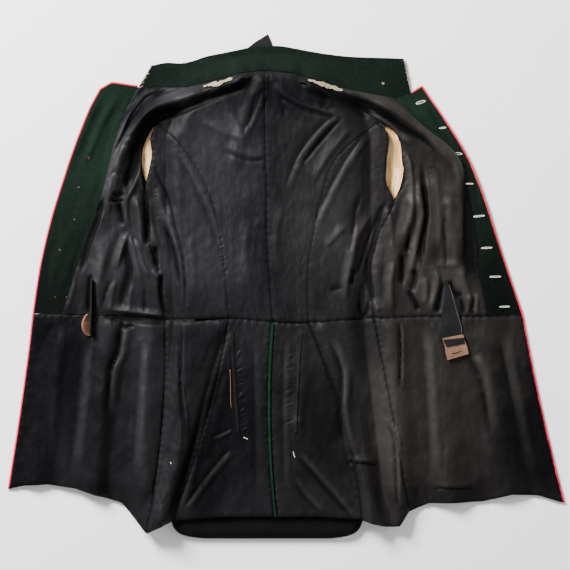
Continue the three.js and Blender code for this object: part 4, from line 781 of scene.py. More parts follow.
def thicken(bm, thickness):
    """Gives a sheet its wall, straight down, and marks the wall's corners sharp"""
    made = bmesh.ops.extrude_face_region(bm, geom=bm.faces[:], use_keep_orig=True)
    lower = [g for g in made["geom"] if isinstance(g, bmesh.types.BMVert)]
    bmesh.ops.translate(bm, verts=lower, vec=(0, 0, -thickness * MM))
    bmesh.ops.recalc_face_normals(bm, faces=bm.faces[:])
    mark_sharp(bm)


def mark_sharp(bm, angle=1.0):
    for e in bm.edges:
        e.smooth = len(e.link_faces) != 2 or e.calc_face_angle(0) < angle


def piece(name, bm, material, nodes=()):
    """Makes a finished object of a mesh, on the part's one body"""
    for face in bm.faces:
        face.smooth = True
    mesh = bpy.data.meshes.new(name)
    bm.to_mesh(mesh)
    bm.free()
    obj = bpy.data.objects.new(name, mesh)
    bpy.context.scene.collection.objects.link(obj)
    mesh.materials.append(material)
    if nodes:
        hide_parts(*nodes)
    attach(obj, "root")
    return obj


# Materials
class Tree:
    """Adds nodes to a tree and joins them"""

    def __init__(self, tree):
        self.tree = tree

    def put(self, socket, value):
        if isinstance(value, bpy.types.NodeSocket):
            self.tree.links.new(value, socket)
        else:
            socket.default_value = value

    def add(self, kind, settings=(), **values):
        node = self.tree.nodes.new(kind)
        for key, value in dict(settings).items():
            setattr(node, key, value)
        for key, value in values.items():
            name = key.replace("_", " ")
            self.put(next(s for s in node.inputs if s.name.lower() == name.lower() and s.enabled), value)
        return node

    def math(self, operation, a, b=0.0):
        node = self.tree.nodes.new("ShaderNodeMath")
        node.operation = operation
        for socket, value in zip(node.inputs, (a, b)):
            self.put(socket, value)
        return node.outputs[0]

    def ramp(self, factor, low, high):
        soft = {"interpolation_type": "SMOOTHSTEP"}
        return self.add("ShaderNodeMapRange", soft, Value=factor, From_Min=low, From_Max=high).outputs[0]

    def noise(self, place, scale, detail, roughness=0.5, distortion=0.0):
        values = {"Scale": scale, "Detail": detail, "Roughness": roughness, "Distortion": distortion}
        return self.add("ShaderNodeTexNoise", Vector=place, **values).outputs[0]

    def mark(self, name):
        """A value that the mesh carries at each of its points"""
        return self.add("ShaderNodeAttribute", {"attribute_name": name}).outputs["Fac"]

    def mix(self, factor, a, b):
        node = self.tree.nodes.new("ShaderNodeMix")
        node.data_type = "RGBA"
        for socket, value in ((0, factor), (6, a), (7, b)):
            self.put(node.inputs[socket], (*value, 1) if isinstance(value, tuple) else value)
        return node.outputs[2]


def group(name, inputs, outputs, build):
    """A shader node group with named inputs and outputs, built once"""
    if name in bpy.data.node_groups:
        return bpy.data.node_groups[name]
    made = bpy.data.node_groups.new(name, "ShaderNodeTree")
    for label, kind, default in inputs:
        socket = made.interface.new_socket(label, in_out="INPUT", socket_type=kind)
        if default is not None:
            socket.default_value = default
    for label, kind in outputs:
        made.interface.new_socket(label, in_out="OUTPUT", socket_type=kind)
    start = made.nodes.new("NodeGroupInput")
    end = made.nodes.new("NodeGroupOutput")
    for label, value in build(Tree(made), start.outputs).items():
        made.links.new(value, end.inputs[label])
    return made


def weave_group():
    """Crossing threads: bands along x and along y that go over and under each other"""
    def build(t, given):
        parts = t.add("ShaderNodeSeparateXYZ", Vector=given["Place"])
        turn = t.math("MULTIPLY", given["Threads per mm"], 1000 * math.pi)
        bands = [t.math("SINE", t.math("MULTIPLY", parts.outputs[axis], turn)) for axis in (0, 1)]
        squares = [t.math("ABSOLUTE", band) for band in bands]
        over = t.math("MULTIPLY", bands[0], bands[1])
        return {"Height": t.math("ADD", t.math("MULTIPLY", over, 0.4), t.math("MAXIMUM", *squares))}

    inputs = [("Place", "NodeSocketVector", None), ("Threads per mm", "NodeSocketFloat", 2.0)]
    return group("Crossing threads", inputs, [("Height", "NodeSocketFloat")], build)


def nap_group():
    """Short raised fibres of a fulled wool, with soft uneven patches"""
    def build(t, given):
        place = given["Place"]
        fine = t.noise(place, 2600.0, 3.0, 0.7)
        tufts = t.noise(place, 520.0, 4.0, 0.62, 0.6)
        patches = t.noise(place, 16.0, 5.0, 0.55)
        height = t.math("ADD", t.math("MULTIPLY", fine, 0.45), tufts)
        return {"Height": height, "Tufts": tufts, "Patches": t.ramp(patches, 0.32, 0.72)}

    outputs = [(label, "NodeSocketFloat") for label in ("Height", "Tufts", "Patches")]
    return group("Wool nap", [("Place", "NodeSocketVector", None)], outputs, build)


def material(name, build):
    made = bpy.data.materials.get(name)
    if made:
        return made
    made = bpy.data.materials.new(name)
    made.use_nodes = True
    made.node_tree.nodes.clear()
    t = Tree(made.node_tree)
    place = t.add("ShaderNodeTexCoord").outputs["Object"]
    shader = build(t, place)
    out = t.add("ShaderNodeOutputMaterial")
    made.node_tree.links.new(shader.outputs[0], out.inputs["Surface"])
    return made


def bump(t, height, strength, distance):
    return t.add("ShaderNodeBump", Height=height, Strength=strength, Distance=distance).outputs[0]


def wool_material(name, colour, sheen, fade, low=0.0):
    """Fulled wool. fade is how much pale fluff it has, and low how much painted shade darkens it towards the
    hem.
    """
    def build(t, place):
        nap = t.add("ShaderNodeGroup", {"node_tree": nap_group()}, Place=place)
        dark = tuple(c * 0.62 for c in colour)
        pale = tuple(min(1, c * 1.5 + 0.004) for c in colour)
        base = t.mix(nap.outputs["Patches"], dark, colour)
        base = t.mix(t.ramp(nap.outputs["Tufts"], 0.45, 0.78), base, pale)
        specks = t.ramp(t.noise(place, 900.0, 2.0), 0.70, 0.80)
        base = t.mix(t.math("MULTIPLY", specks, fade), base, (0.16, 0.18, 0.13))
        # Painted shade: the colour darkens towards the hem, where y is below 0.22 m, by the share low.
        height = t.add("ShaderNodeSeparateXYZ", Vector=place).outputs[1]
        shaded = t.mix(low, base, tuple(c * 0.04 for c in colour))
        base = t.mix(t.ramp(height, -0.06, 0.22), shaded, base)
        # Painted shade: the colour darkens in the troughs of the creases.
        painted_crease_shade = t.ramp(t.math("MULTIPLY", t.mark("crease"), -1.0), 0.1, 0.9)
        base = t.mix(t.math("MULTIPLY", painted_crease_shade, 0.6), base, (0.003, 0.006, 0.004))
        return t.add(
            "ShaderNodeBsdfPrincipled",
            Base_Color=base,
            Roughness=0.93,
            Specular_IOR_Level=0.08,
            Sheen_Weight=sheen,
            Sheen_Roughness=0.45,
            Sheen_Tint=(*pale, 1),
            Normal=bump(t, nap.outputs["Height"], 0.55, 0.0005),
        )

    return material(name, build)


def satin_material(colours):
    """Black satin, paler on its ridges partly from wear and partly as painted highlight, darker in its
    troughs and seams as painted shade, and browner and paler towards the left front, partly faded and partly
    painted side light
    """
    plain, worn_and_lit_colour, faded_and_lit_colour = (
        tuple(c) for c in (colours.satin, colours.satin_worn_and_lit, colours.satin_faded_and_lit)
    )

    def build(t, place):
        crease = t.mark("crease")
        broad = t.noise(place, 9.0, 5.0, 0.6, 0.8)
        rubs = t.noise(place, 60.0, 6.0, 0.7, 1.2)
        # worn: random wear, plus paler ridges (part wear, part painted highlight), painted shade in the
        # troughs, and the patches of painted shade and paler satin
        worn = t.math("ADD", t.math("MULTIPLY", broad, 0.85), t.math("MULTIPLY", rubs, 0.12))
        worn = t.math("ADD", worn, t.math("MULTIPLY", crease, 0.5))
        worn = t.ramp(t.math("ADD", worn, t.mark("pale_and_shade_patches")), 0.02, 1.28)
        # Towards the left front the pale end turns browner and paler, partly fading and partly painted side
        # light.
        across = t.add("ShaderNodeSeparateXYZ", Vector=place).outputs[0]
        fade_and_side_light = t.mix(t.ramp(across, -0.05, 0.25), worn_and_lit_colour, faded_and_lit_colour)
        base = t.mix(worn, plain, fade_and_side_light)
        # Painted shade: the colour darkens in the troughs of the creases and where the cloth sinks at its
        # seams.
        painted_crease_shade = t.ramp(t.math("MULTIPLY", crease, -1.0), 0.12, 1.25)
        base = t.mix(t.math("MULTIPLY", painted_crease_shade, 0.7), base, (0.0012, 0.0012, 0.0014))
        threads = t.add("ShaderNodeGroup", {"node_tree": weave_group()}, Place=place, Threads_per_mm=1.6)
        drags = []
        for turn in (0.34, -0.34):
            drawn = t.add("ShaderNodeMapping", Vector=place, Rotation=(0, 0, turn), Scale=(3.6, 0.55, 1.0))
            drags.append(t.noise(drawn.outputs[0], 19.0, 2.5, 0.5, 0.5))
        crush = t.mix(t.ramp(across, -0.05, 0.05), *drags)
        folds = bump(t, crush, 0.17, 0.004)
        fine = t.add("ShaderNodeBump", Height=threads.outputs[0], Strength=0.1, Distance=0.0001, Normal=folds)
        return t.add(
            "ShaderNodeBsdfPrincipled",
            Base_Color=base,
            Roughness=t.math("ADD", 0.52, t.math("MULTIPLY", rubs, 0.06)),
            Specular_IOR_Level=t.math("ADD", 0.05, t.math("MULTIPLY", worn, 0.09)),
            Sheen_Weight=0.02,
            Sheen_Roughness=0.4,
            Normal=fine.outputs[0],
        )

    return material("black satin", build)


def cotton_material(name, colour, threads_per_mm, roughness, soil, shine=0.3):
    def build(t, place):
        weave = {"node_tree": weave_group()}
        threads = t.add("ShaderNodeGroup", weave, Place=place, Threads_per_mm=threads_per_mm)
        stains = t.ramp(t.noise(place, 34.0, 5.0, 0.65), 0.40, 0.75)
        base = t.mix(stains, colour, tuple(c * soil for c in colour))
        return t.add(
            "ShaderNodeBsdfPrincipled",
            Base_Color=base,
            Roughness=roughness,
            Specular_IOR_Level=shine,
            Normal=bump(t, threads.outputs[0], 0.5, 0.0002),
        )

    return material(name, build)


def gathered_cotton_material(name, colour):
    """Cotton drawn into soft pleats that run along y, with painted shade darkening the pleats' hollows"""
    def build(t, place):
        drawn = t.add("ShaderNodeMapping", Vector=place, Scale=(1.0, 0.22, 1.0))
        pleats = t.noise(drawn.outputs[0], 95.0, 3.0, 0.5, 0.7)
        shade = t.ramp(pleats, 0.38, 0.54)
        base = t.mix(shade, tuple(c * k for c, k in zip(colour, (0.74, 0.60, 0.46))), colour)
        return t.add(
            "ShaderNodeBsdfPrincipled",
            Base_Color=base,
            Roughness=0.8,
            Specular_IOR_Level=0.2,
            Normal=bump(t, pleats, 0.9, 0.006),
        )

    return material(name, build)


def leather_material(colour):
    def build(t, place):
        grain = t.add("ShaderNodeTexVoronoi", {"feature": "DISTANCE_TO_EDGE"}, Vector=place, Scale=900.0)
        wear = t.noise(place, 140.0, 6.0, 0.7)
        base = t.mix(t.ramp(wear, 0.35, 0.7), tuple(c * 0.6 for c in colour), colour)
        base = t.mix(t.ramp(wear, 0.66, 0.8), base, tuple(min(1, c * 1.5) for c in colour))
        return t.add(
            "ShaderNodeBsdfPrincipled",
            Base_Color=base,
            Roughness=t.math("ADD", 0.45, t.math("MULTIPLY", wear, 0.3)),
            Normal=bump(t, grain.outputs[0], 0.4, 0.0004),
        )

    return material("tan leather", build)


def metal_material(colour):
    def build(t, place):
        tarnish = t.noise(place, 300.0, 5.0)
        base = t.mix(t.ramp(tarnish, 0.4, 0.7), colour, tuple(c * 0.45 for c in colour))
        return t.add(
            "ShaderNodeBsdfPrincipled",
            Base_Color=base,
            Metallic=1.0,
            Roughness=t.math("ADD", 0.25, t.math("MULTIPLY", tarnish, 0.3)),
        )

    return material("dull gilt", build)


def floor_material():
    def build(t, place):
        return t.add("ShaderNodeBsdfPrincipled", Base_Color=(0.94, 0.94, 0.94, 1), Roughness=0.9)

    return material("pale floor", build)


def all_materials(context):
    colours = context.scene.tunic_colours
    return {
        "wool": wool_material("outer wool", tuple(colours.wool), 0.07, 0.4),
        "facing": wool_material("facing wool", tuple(colours.facing), 0.035, 0.7, 0.85),
        "edge": wool_material("vent edge wool", (0.0022, 0.019, 0.0085), 0.05, 0.3),
        # The collar's lining is a darker copy of the facing wool, as painted shade.
        "collar": wool_material("collar wool", tuple(c * 0.55 for c in colours.facing), 0.05, 0.8),
        "satin": satin_material(colours),
        "cream": gathered_cotton_material("cream cotton", tuple(colours.cream)),
        "worn_tape": cotton_material("worn tape", (0.075, 0.066, 0.055), 1.1, 0.9, 0.5, 0.1),
        "canvas": cotton_material("cream canvas", (0.24, 0.20, 0.125), 0.8, 0.9, 0.3),
        "scarlet": wool_material("piping wool", tuple(colours.scarlet), 0.2, 0.05),
        "tape": cotton_material("black tape", (0.006, 0.006, 0.0068), 1.1, 0.75, 0.6, 0.12),
        "leather": leather_material(tuple(colours.leather)),
        "gilt": metal_material(tuple(colours.gilt)),
        "cover": cotton_material("form cover", (0.003, 0.003, 0.0034), 1.5, 0.9, 0.7, 0.08),
        "thread": cotton_material("pale thread", (0.75, 0.72, 0.62), 3.0, 0.7, 0.9),
        "brown_thread": cotton_material("brown thread", (0.20, 0.085, 0.03), 3.0, 0.7, 0.8),
        "frayed": cotton_material("frayed thread", (0.42, 0.30, 0.17), 3.0, 0.8, 0.6),
    }


# Heights of the cloth's upper sides
def satin_creases(x, y, sizes):
    return sizes.creases * (crease_height(CREASES, x, y) + pucker_height(x, y))


def satin_height(x, y, sizes, creases, grid_dips=0.0):
    """Upper side of the lining: the large folds, then creases, crumples and seams"""
    small = 1.1 * stretched_crumple(x, y, 34, 1.8, 8, 3.7) + 0.07 * crumple(x, y, 13, 9.1)
    small += 0.24 * creased_crumple(x, y, 46, 2.2, -6, 5.9) + 0.12 * creased_crumple(x, y, 27, 1.5, 14, 1.3)
    loose = SATIN_LOFT + puff(x, y) + creases + sizes.creases * small - grid_dips
    soft_floor = 0.4 + 1.2 * np.exp(np.minimum(loose - 1.6, 0) / 2.4)
    return lift(x, y) + sizes.wool + np.where(loose > 1.6, loose, soft_floor) + sizes.lining


def facing_height(x, y, sizes):
    creases = sizes.creases * crease_height(FACING_CREASES, x, y)
    small = 0.35 * crumple(x, y, 40, 5.3)
    return lift(x, y) + sizes.wool + np.clip(FACING_LOFT + creases + small, 0.35, None) + sizes.facing


def stacked(grid, height):
    return np.dstack([grid, height])


# The view: heights in metres of the camera and of the level at which the picture has its scale, the
# picture's width in millimetres, and the width of the camera's sensor
CAMERA_HEIGHT, SCALE_LEVEL = 3.2, 0.012
PICTURE_WIDTH = 570 * 1.7
SENSOR_WIDTH = 36
WORLD_LIGHT = 0.36
# Name, place, size and power of each lamp
LAMPS = [
    ("key light", (-1.8, 2.1, 1.9), 1.2, 480),
    ("side light", (2.4, 0.8, 2.0), 1.4, 24),
    ("low light", (-0.4, -2.4, 2.0), 1.6, 18),
]


class TUNIC_OT_stage(bpy.types.Operator):
    """Pale floor, soft studio light and a camera straight above the tunic"""

    bl_idname = "tunic.stage"
    bl_label = "Stage"

    def execute(self, context):
        bm = bmesh.new()
        bmesh.ops.create_grid(bm, x_segments=1, y_segments=1, size=6)
        bmesh.ops.translate(bm, verts=bm.verts[:], vec=(0, 0, -0.0004))
        mesh = bpy.data.meshes.new("floor")
        bm.to_mesh(mesh)
        bm.free()
        floor = bpy.data.objects.new("floor", mesh)
        mesh.materials.append(floor_material())
        context.scene.collection.objects.link(floor)

        world = bpy.data.worlds.new("studio")
        context.scene.world = world
        world.use_nodes = True
        background = world.node_tree.nodes["Background"]
        background.inputs["Color"].default_value = (1, 1, 1, 1)
        background.inputs["Strength"].default_value = WORLD_LIGHT
        for name, place, width, power in LAMPS:
            light = bpy.data.lights.new(name, "AREA")
            light.size = width
            light.energy = power
            lamp = bpy.data.objects.new(name, light)
            lamp.location = place
            lamp.rotation_euler = (-Vector(place)).to_track_quat("-Z", "Y").to_euler()
            context.scene.collection.objects.link(lamp)

        camera = bpy.data.cameras.new("camera")
        camera.sensor_width = SENSOR_WIDTH
        camera.lens = SENSOR_WIDTH * (CAMERA_HEIGHT - SCALE_LEVEL) / (PICTURE_WIDTH * MM)
        eye = bpy.data.objects.new("camera", camera)
        eye.location = (-2 * MM, 2 * MM, CAMERA_HEIGHT)
        context.scene.collection.objects.link(eye)
        context.scene.camera = eye
        return {"FINISHED"}


class TUNIC_OT_display_form(bpy.types.Operator):
    """The low padded form under the back, flat below and round at its edges"""

    bl_idname = "tunic.display_form"
    bl_label = "Display form"

    def execute(self, context):
        rows = along_curve(FORM_OUTLINE, 120)
        angles = np.linspace(0, math.pi / 2, 12)
        rings = []
        for y, half, top in rows:
            side = half - FORM_EDGE_RADIUS * (1 - np.cos(angles))
            height = top * np.sin(angles)
            inner = np.linspace(side[-1], -side[-1], 14)[1:-1]
            x = np.concatenate([side, inner, -side[::-1]])
            z = np.concatenate([height, np.full(inner.shape, top), height[::-1]])
            rings.append(np.stack([FORM_MIDDLE + x, np.full(x.shape, y), z], axis=-1))
        bm = tube_mesh(np.array(rings), cap=True)
        mark_sharp(bm)
        piece("form_cover", bm, all_materials(context)["cover"], ["display_form"])
        return {"FINISHED"}


# Name, stretch, first and last line, whether it is a skirt panel
SHELL_PANELS = [
    ("front_R", "frontR", "edgeR", "sideR", False),
    ("side_back_R", "back", "sideR", "princessR", False),
    ("back_R", "back", "princessR", "centre", False),
    ("back_L", "back", "centre", "princessL", False),
    ("side_back_L", "back", "princessL", "sideL", False),
    ("front_L", "frontL", "sideL", "edgeL", False),
    ("front_skirt_R", "frontR", "edgeR", "sideR", True),
    ("side_skirt_R", "back", "sideR", "princessR", True),
    ("tail_R", "back", "princessR", "centre", True),
    ("tail_L", "back", "centre", "princessL", True),
    ("side_skirt_L", "back", "princessL", "sideL", True),
    ("front_skirt_L", "frontL", "sideL", "edgeL", True),
]


def cut_slits(bm):
    """Opens the buttonholes: faces under each slit's outline are cut out, through the whole wall"""
    for (x, y), length, gape, turn in BUTTONHOLES:
        c, s = math.cos(math.radians(turn)), math.sin(math.radians(turn))
        half_length, half_gape = length / 2 * MM, gape / 2 * MM
        centre = Vector((x * MM, y * MM, 0))
        near = [f for f in bm.faces if (f.calc_center_median().xy - centre.xy).length < 2.2 * half_length]
        for axis, offset in ((Vector((c, s, 0)), half_length), (Vector((-s, c, 0)), half_gape)):
            for sign in (-1, 1):
                geometry = set(near)
                for f in near:
                    geometry.update(f.edges)
                    geometry.update(f.verts)
                cut = bmesh.ops.bisect_plane(
                    bm, geom=list(geometry), plane_co=centre + axis * offset * sign, plane_no=axis, dist=1e-7
                )
                near = [g for g in cut["geom"] if isinstance(g, bmesh.types.BMFace)]
        inside = []
        for f in near:
            d = f.calc_center_median() - centre
            if abs(d.x * c + d.y * s) < half_length and abs(d.y * c - d.x * s) < half_gape:
                inside.append(f)
        bmesh.ops.delete(bm, geom=inside, context="FACES")


class TUNIC_OT_outer_cloth(bpy.types.Operator):
    """The wool panels of the outside, face down"""

    bl_idname = "tunic.outer_cloth"
    bl_label = "Outer cloth"

    def execute(self, context):
        sizes = context.scene.tunic_sizes
        wool = all_materials(context)["wool"]
        for name, stretch, first, last, skirt in SHELL_PANELS:
            grid = plan_grid(stretch, first, last, skirt, SHELL_CELL)
            bm = sheet_mesh(stacked(grid, lift(grid[..., 0], grid[..., 1]) + sizes.wool))
            if name == "front_L":
                cut_slits(bm)
            thicken(bm, sizes.wool)
            piece(f"cloth_{name}", bm, wool, [name])
        return {"FINISHED"}


# The same of the lining, then its inset and how far it sinks at its low, high, first and last edge
LINING_PANELS = [
    ("front_lining_R", "frontR", "facingR", "sideR", False, ALL_ROUND, (0, 1, 1, 1)),
    ("side_back_lining_R", "back", "sideR", "princessR", False, ALL_ROUND, (1, 1, 1, 0.5)),
    ("back_lining_R", "back", "princessR", "centre", False, ALL_ROUND, (1, 1, 0.5, 0.7)),
    ("back_lining_L", "back", "centre", "princessL", False, ALL_ROUND, (1, 1, 0.7, 0.5)),
    ("side_back_lining_L", "back", "princessL", "sideL", False, ALL_ROUND, (1, 1, 0.5, 1)),
    ("front_lining_L", "frontL", "sideL", "facingL", False, ALL_ROUND, (1, 1, 1, 1)),
    ("front_skirt_lining_R", "frontR", "edgeR", "sideR", True, (1, 0.2, 0.2, 0.2), (1, 1.4, 1, 1)),
    ("side_skirt_lining_R", "back", "sideR", "princessR", True, (1, 0.2, 0.2, 0.2), (1, 1.2, 1, 1.2)),
    ("tail_lining_R", "back", "princessR", "centre", True, (4.5, 0.2, 0.2, 3.2), (1, 1.2, 1, 1)),
    ("tail_lining_L", "back", "centre", "princessL", True, (4.5, 0.2, 3.2, 0.2), (1, 1.2, 1, 1)),
    ("side_skirt_lining_L", "back", "princessL", "sideL", True, (1, 0.2, 0.2, 0.2), (1, 1.2, 1.2, 1)),
    ("front_skirt_lining_L", "frontL", "sideL", "edgeL", True, (1, 0.2, 0.2, 0.2), (1, 1.4, 1, 1)),
]


class TUNIC_OT_lining(bpy.types.Operator):
    """The black satin lining, panel by panel"""

    bl_idname = "tunic.lining"
    bl_label = "Lining"

    def execute(self, context):
        sizes = context.scene.tunic_sizes
        satin = all_materials(context)["satin"]
        for name, stretch, first, last, skirt, inset, (low, high, start, end) in LINING_PANELS:
            grid = plan_grid(stretch, first, last, skirt, sizes.cell, inset)
            dips = seam_dip(grid, start, end, low, high)
            x, y = grid[..., 0], grid[..., 1]
            creases = satin_creases(x, y, sizes)
            # crease carries the creases' heights less the seam dips; from it the satin paints highlight on
            # ridges and shade in troughs. The second mark places patches of painted shade and of paler satin.
            marks = {"crease": np.clip((creases - dips) / 4, -1, 1), "pale_and_shade_patches": pale_and_shade_patches(x, y)}
            bm = sheet_mesh(stacked(grid, satin_height(x, y, sizes, creases, dips)), marks)
            thicken(bm, sizes.lining)
            piece(f"satin_{name}", bm, satin, [name])
        return {"FINISHED"}


class TUNIC_OT_facings(bpy.types.Operator):
    """The green facings inside both front edges, with the buttonholes on the left"""

    bl_idname = "tunic.facings"
    bl_label = "Facings"

    def execute(self, context):
        sizes = context.scene.tunic_sizes
        green = all_materials(context)["facing"]
        for side, first, last in (("R", "edgeR", "facingR"), ("L", "facingL", "edgeL")):
            grid = plan_grid(f"front{side}", first, last, False, FACING_CELL)
            x, y = grid[..., 0], grid[..., 1]
            # From crease the facing's material paints shade into the troughs.
            marks = {"crease": np.clip(crease_height(FACING_CREASES, x, y) / 3, -1, 1)}
            bm = sheet_mesh(stacked(grid, facing_height(x, y, sizes)), marks)
            if side == "L":
                cut_slits(bm)
            thicken(bm, sizes.facing)
            name = f"facing_{side}"
            piece(f"green_{name}", bm, green, [name])
        return {"FINISHED"}


# Collar: points along its top edge over the ones along the neck seam
COLLAR_TOP = [
    [-229, 376], [-205, 381], [-179, 380], [-159, 384], [-135, 392], [-109, 397],
    [-84, 402], [-60, 407], [-35, 409], [-9, 409], [20, 404], [61, 397],
    [101, 392], [139, 390], [173, 389], [200, 388],
]
COLLAR_LOW_GAP = 0.9
COLLAR_LINING_SHY = 0.6


def collar_seam():
    """The neck seam under the collar, a point for each of the collar's top edge"""
    points = []
    for a, b, shares in (
        ("facingR", "chestR", (0, 1 / 3, 2 / 3)),
        ("chestR", "sideR", (0, 1 / 3, 2 / 3)),
        ("sideR", "centre", (0, 1 / 2)),
        ("centre", "sideL", (0, 1 / 2)),
        ("sideL", "chestL", (0, 1 / 2)),
        ("chestL", "facingL", (0, 1 / 2)),
        ("facingL", "buttonL", (0, 0.93)),
    ):
        (ax, ay), (bx, by) = BODY_LINES[a][-1], BODY_LINES[b][-1]
        points += [(ax + (bx - ax) * t, ay + (by - ay) * t) for t in shares]
    return points


def collar_grid(shy):
    """The collar in plan, its top edge shy millimetres short"""
    across, up = COLLAR_CELLS
    t = np.linspace(0, len(COLLAR_TOP) - 1, across + 1)
    seam, top = through(collar_seam(), t), through(COLLAR_TOP, t)
    rise = np.linalg.norm(top - seam, axis=-1)
    low = COLLAR_LOW_GAP / rise
    high = 1 - shy / rise
    share = low + (high - low) * np.linspace(0, 1, up + 1)[:, None]
    return seam + (top - seam) * share[..., None], seam, share


def collar_rise(x, y, seam, share):
    """What raises the underside of the collar: the cloth below it at the seam, the loop, soft waves"""
    fall = lift(seam[:, 0], seam[:, 1]) * (1 - smooth(np.clip(share, 0, 1)))
    loop = 2.9 * smooth(np.clip(1.5 - np.abs(x - -48) / 70, 0, 1))
    return np.maximum(fall, loop) + 0.7 * crumple(x, y, 70, 2.2) + 0.7


def on_collar(path, sizes):
    """The upper side of the collar's lining at points in plan"""
    grid, seam, share = collar_grid(COLLAR_LINING_SHY)
    x, y = grid[..., 0], grid[..., 1]
    height = collar_rise(x, y, seam, share) + sizes.wool + LAYER_GAP + sizes.facing
    nearest = [np.argmin((x - px) ** 2 + (y - py) ** 2) for px, py in path]
    return height.ravel()[nearest]


class TUNIC_OT_collar(bpy.types.Operator):
    """The standing collar opened out flat: its outside below, its green lining above"""

    bl_idname = "tunic.collar"
    bl_label = "Collar"

    def execute(self, context):
        sizes = context.scene.tunic_sizes
        materials = all_materials(context)
        above = sizes.wool + LAYER_GAP + sizes.facing
        for name, shy, offset, thickness, cloth, slot in (
            ("collar", 0, sizes.wool, sizes.wool, "wool", "tunic_wool"),
            ("collar_lining", COLLAR_LINING_SHY, above, sizes.facing, "collar", "facing_wool"),
        ):
            grid, seam, share = collar_grid(shy)
            x, y = grid[..., 0], grid[..., 1]
            if name == "collar_lining":
                ragged = 0.55 * np.sin(x / 1.7 + 3 * np.sin(x / 11)) + 0.4 * np.sin(x / 0.83)
                grid[..., 1] += ragged * np.clip(share - 0.8, 0, 1) * 4
            bm = sheet_mesh(stacked(grid, collar_rise(x, y, seam, share) + offset))
            thicken(bm, thickness)
            piece(f"cloth_{name}", bm, materials[cloth], [name])
        return {"FINISHED"}


def sleeve_rings(side, grow, first, last, rings):
    """Flattened rings of a sleeve between two of its rows. One that begins at the armhole is drawn
    aside there."""
    rows = np.array(SLEEVES[side], float)
    steps = np.linspace(first, last, rings)
    inner, outer = through(rows[:, 0], steps), through(rows[:, 1], steps)
    above, below = MOUTHS[side]
    radius = SLEEVE_HEIGHT / 2 + grow
    round_end = np.linspace(-math.pi / 2, math.pi / 2, 9)
    result = []
    for step, a, b in zip(steps, inner, outer):
        middle, span = (a + b) / 2, b - a
        length = np.linalg.norm(span)
        along = span / length
        straight = length / 2 - SLEEVE_HEIGHT / 2
        flat = np.linspace(straight, -straight, 16)[1:-1]
        out, up = radius * np.cos(round_end), radius * np.sin(round_end)
        wall = np.full(flat.shape, radius)
        s = np.concatenate([straight + out, flat, -straight - out, -flat])
        z = np.concatenate([up, wall, -up, -wall])
        fade = max(0.0, 1 - step) if first == 0 else 0
        drawn = below + (above - below) * (z / radius + 1) / 2
        shift = drawn * fade * np.clip(1 - (np.abs(s) / (length / 2)) ** 2, 0, 1)
        x, y = middle[0] + along[0] * s + shift, middle[1] + along[1] * s
        result.append(np.stack([x, y, z + SLEEVE_HEIGHT / 2], axis=-1))
    return np.array(result)


class TUNIC_OT_sleeves(bpy.types.Operator):
    """The sleeves that lie under the fronts, their cuffs, and the cream lining that shows in the armholes"""

    bl_idname = "tunic.sleeves"
    bl_label = "Sleeves"

    def execute(self, context):
        materials = all_materials(context)
        last = len(SLEEVES["R"]) - 1
        for side in ("R", "L"):
            for name, first, end, rings, cloth, slot, grow, wall in (
                ("sleeve", 0, CUFF_FROM - 0.01, 48, "wool", "tunic_wool", 0, SLEEVE_WOOL),
                ("cuff", CUFF_FROM + 0.01, last, 8, "wool", "tunic_wool", 0, SLEEVE_WOOL),
                ("sleeve_lining", 0, SLEEVE_LINING_TO, 30, "cream", "sleeve_lining", -SLEEVE_WOOL - 0.3, 1),
            ):
                outer = sleeve_rings(side, grow, first, end, rings)
                inner = sleeve_rings(side, grow - wall, first, end, rings)
                both = np.concatenate([outer, inner[::-1], outer[:1]])
                bm = tube_mesh(both, cap=False)
                mark_sharp(bm)
                node = f"{name}_{side}"
                piece(f"cloth_{node}", bm, materials[cloth], [node])
        return {"FINISHED"}


def sweep(path, radius, sides=10):
    """A round cord along a path of points in millimetres, with closed ends"""
    path = np.asarray(path, float)
    along = np.gradient(path, axis=0)
    out = np.cross(along, (0, 0, 1))
    out /= np.linalg.norm(out, axis=-1, keepdims=True)
    angles = np.linspace(0, 2 * math.pi, sides, endpoint=False)
    cos, sin, up = np.cos(angles)[:, None], np.sin(angles)[:, None], np.array([0, 0, 1])
    rings = [p + radius * (cos * o + sin * up) for p, o in zip(path, out)]
    return tube_mesh(np.array(rings), cap=True)


def offset_plan(points, distance):
    """A path in plan moved to its right"""
    points = np.asarray(points, float)
    steps = np.diff(points, axis=0)
    normals = np.stack([steps[:, 1], -steps[:, 0]], axis=-1) / np.linalg.norm(steps, axis=-1, keepdims=True)
    before, after = np.vstack([normals[:1], normals]), np.vstack([normals, normals[-1:]])
    mean = (before + after) / 2
    return points + mean * distance / (mean**2).sum(axis=-1, keepdims=True)


# The lines at whose neck the piping of each front turns and ends
PIPING_ENDS = {"R": ["edgeR", "buttonR", "facingR"], "L": ["edgeL", "buttonL"]}


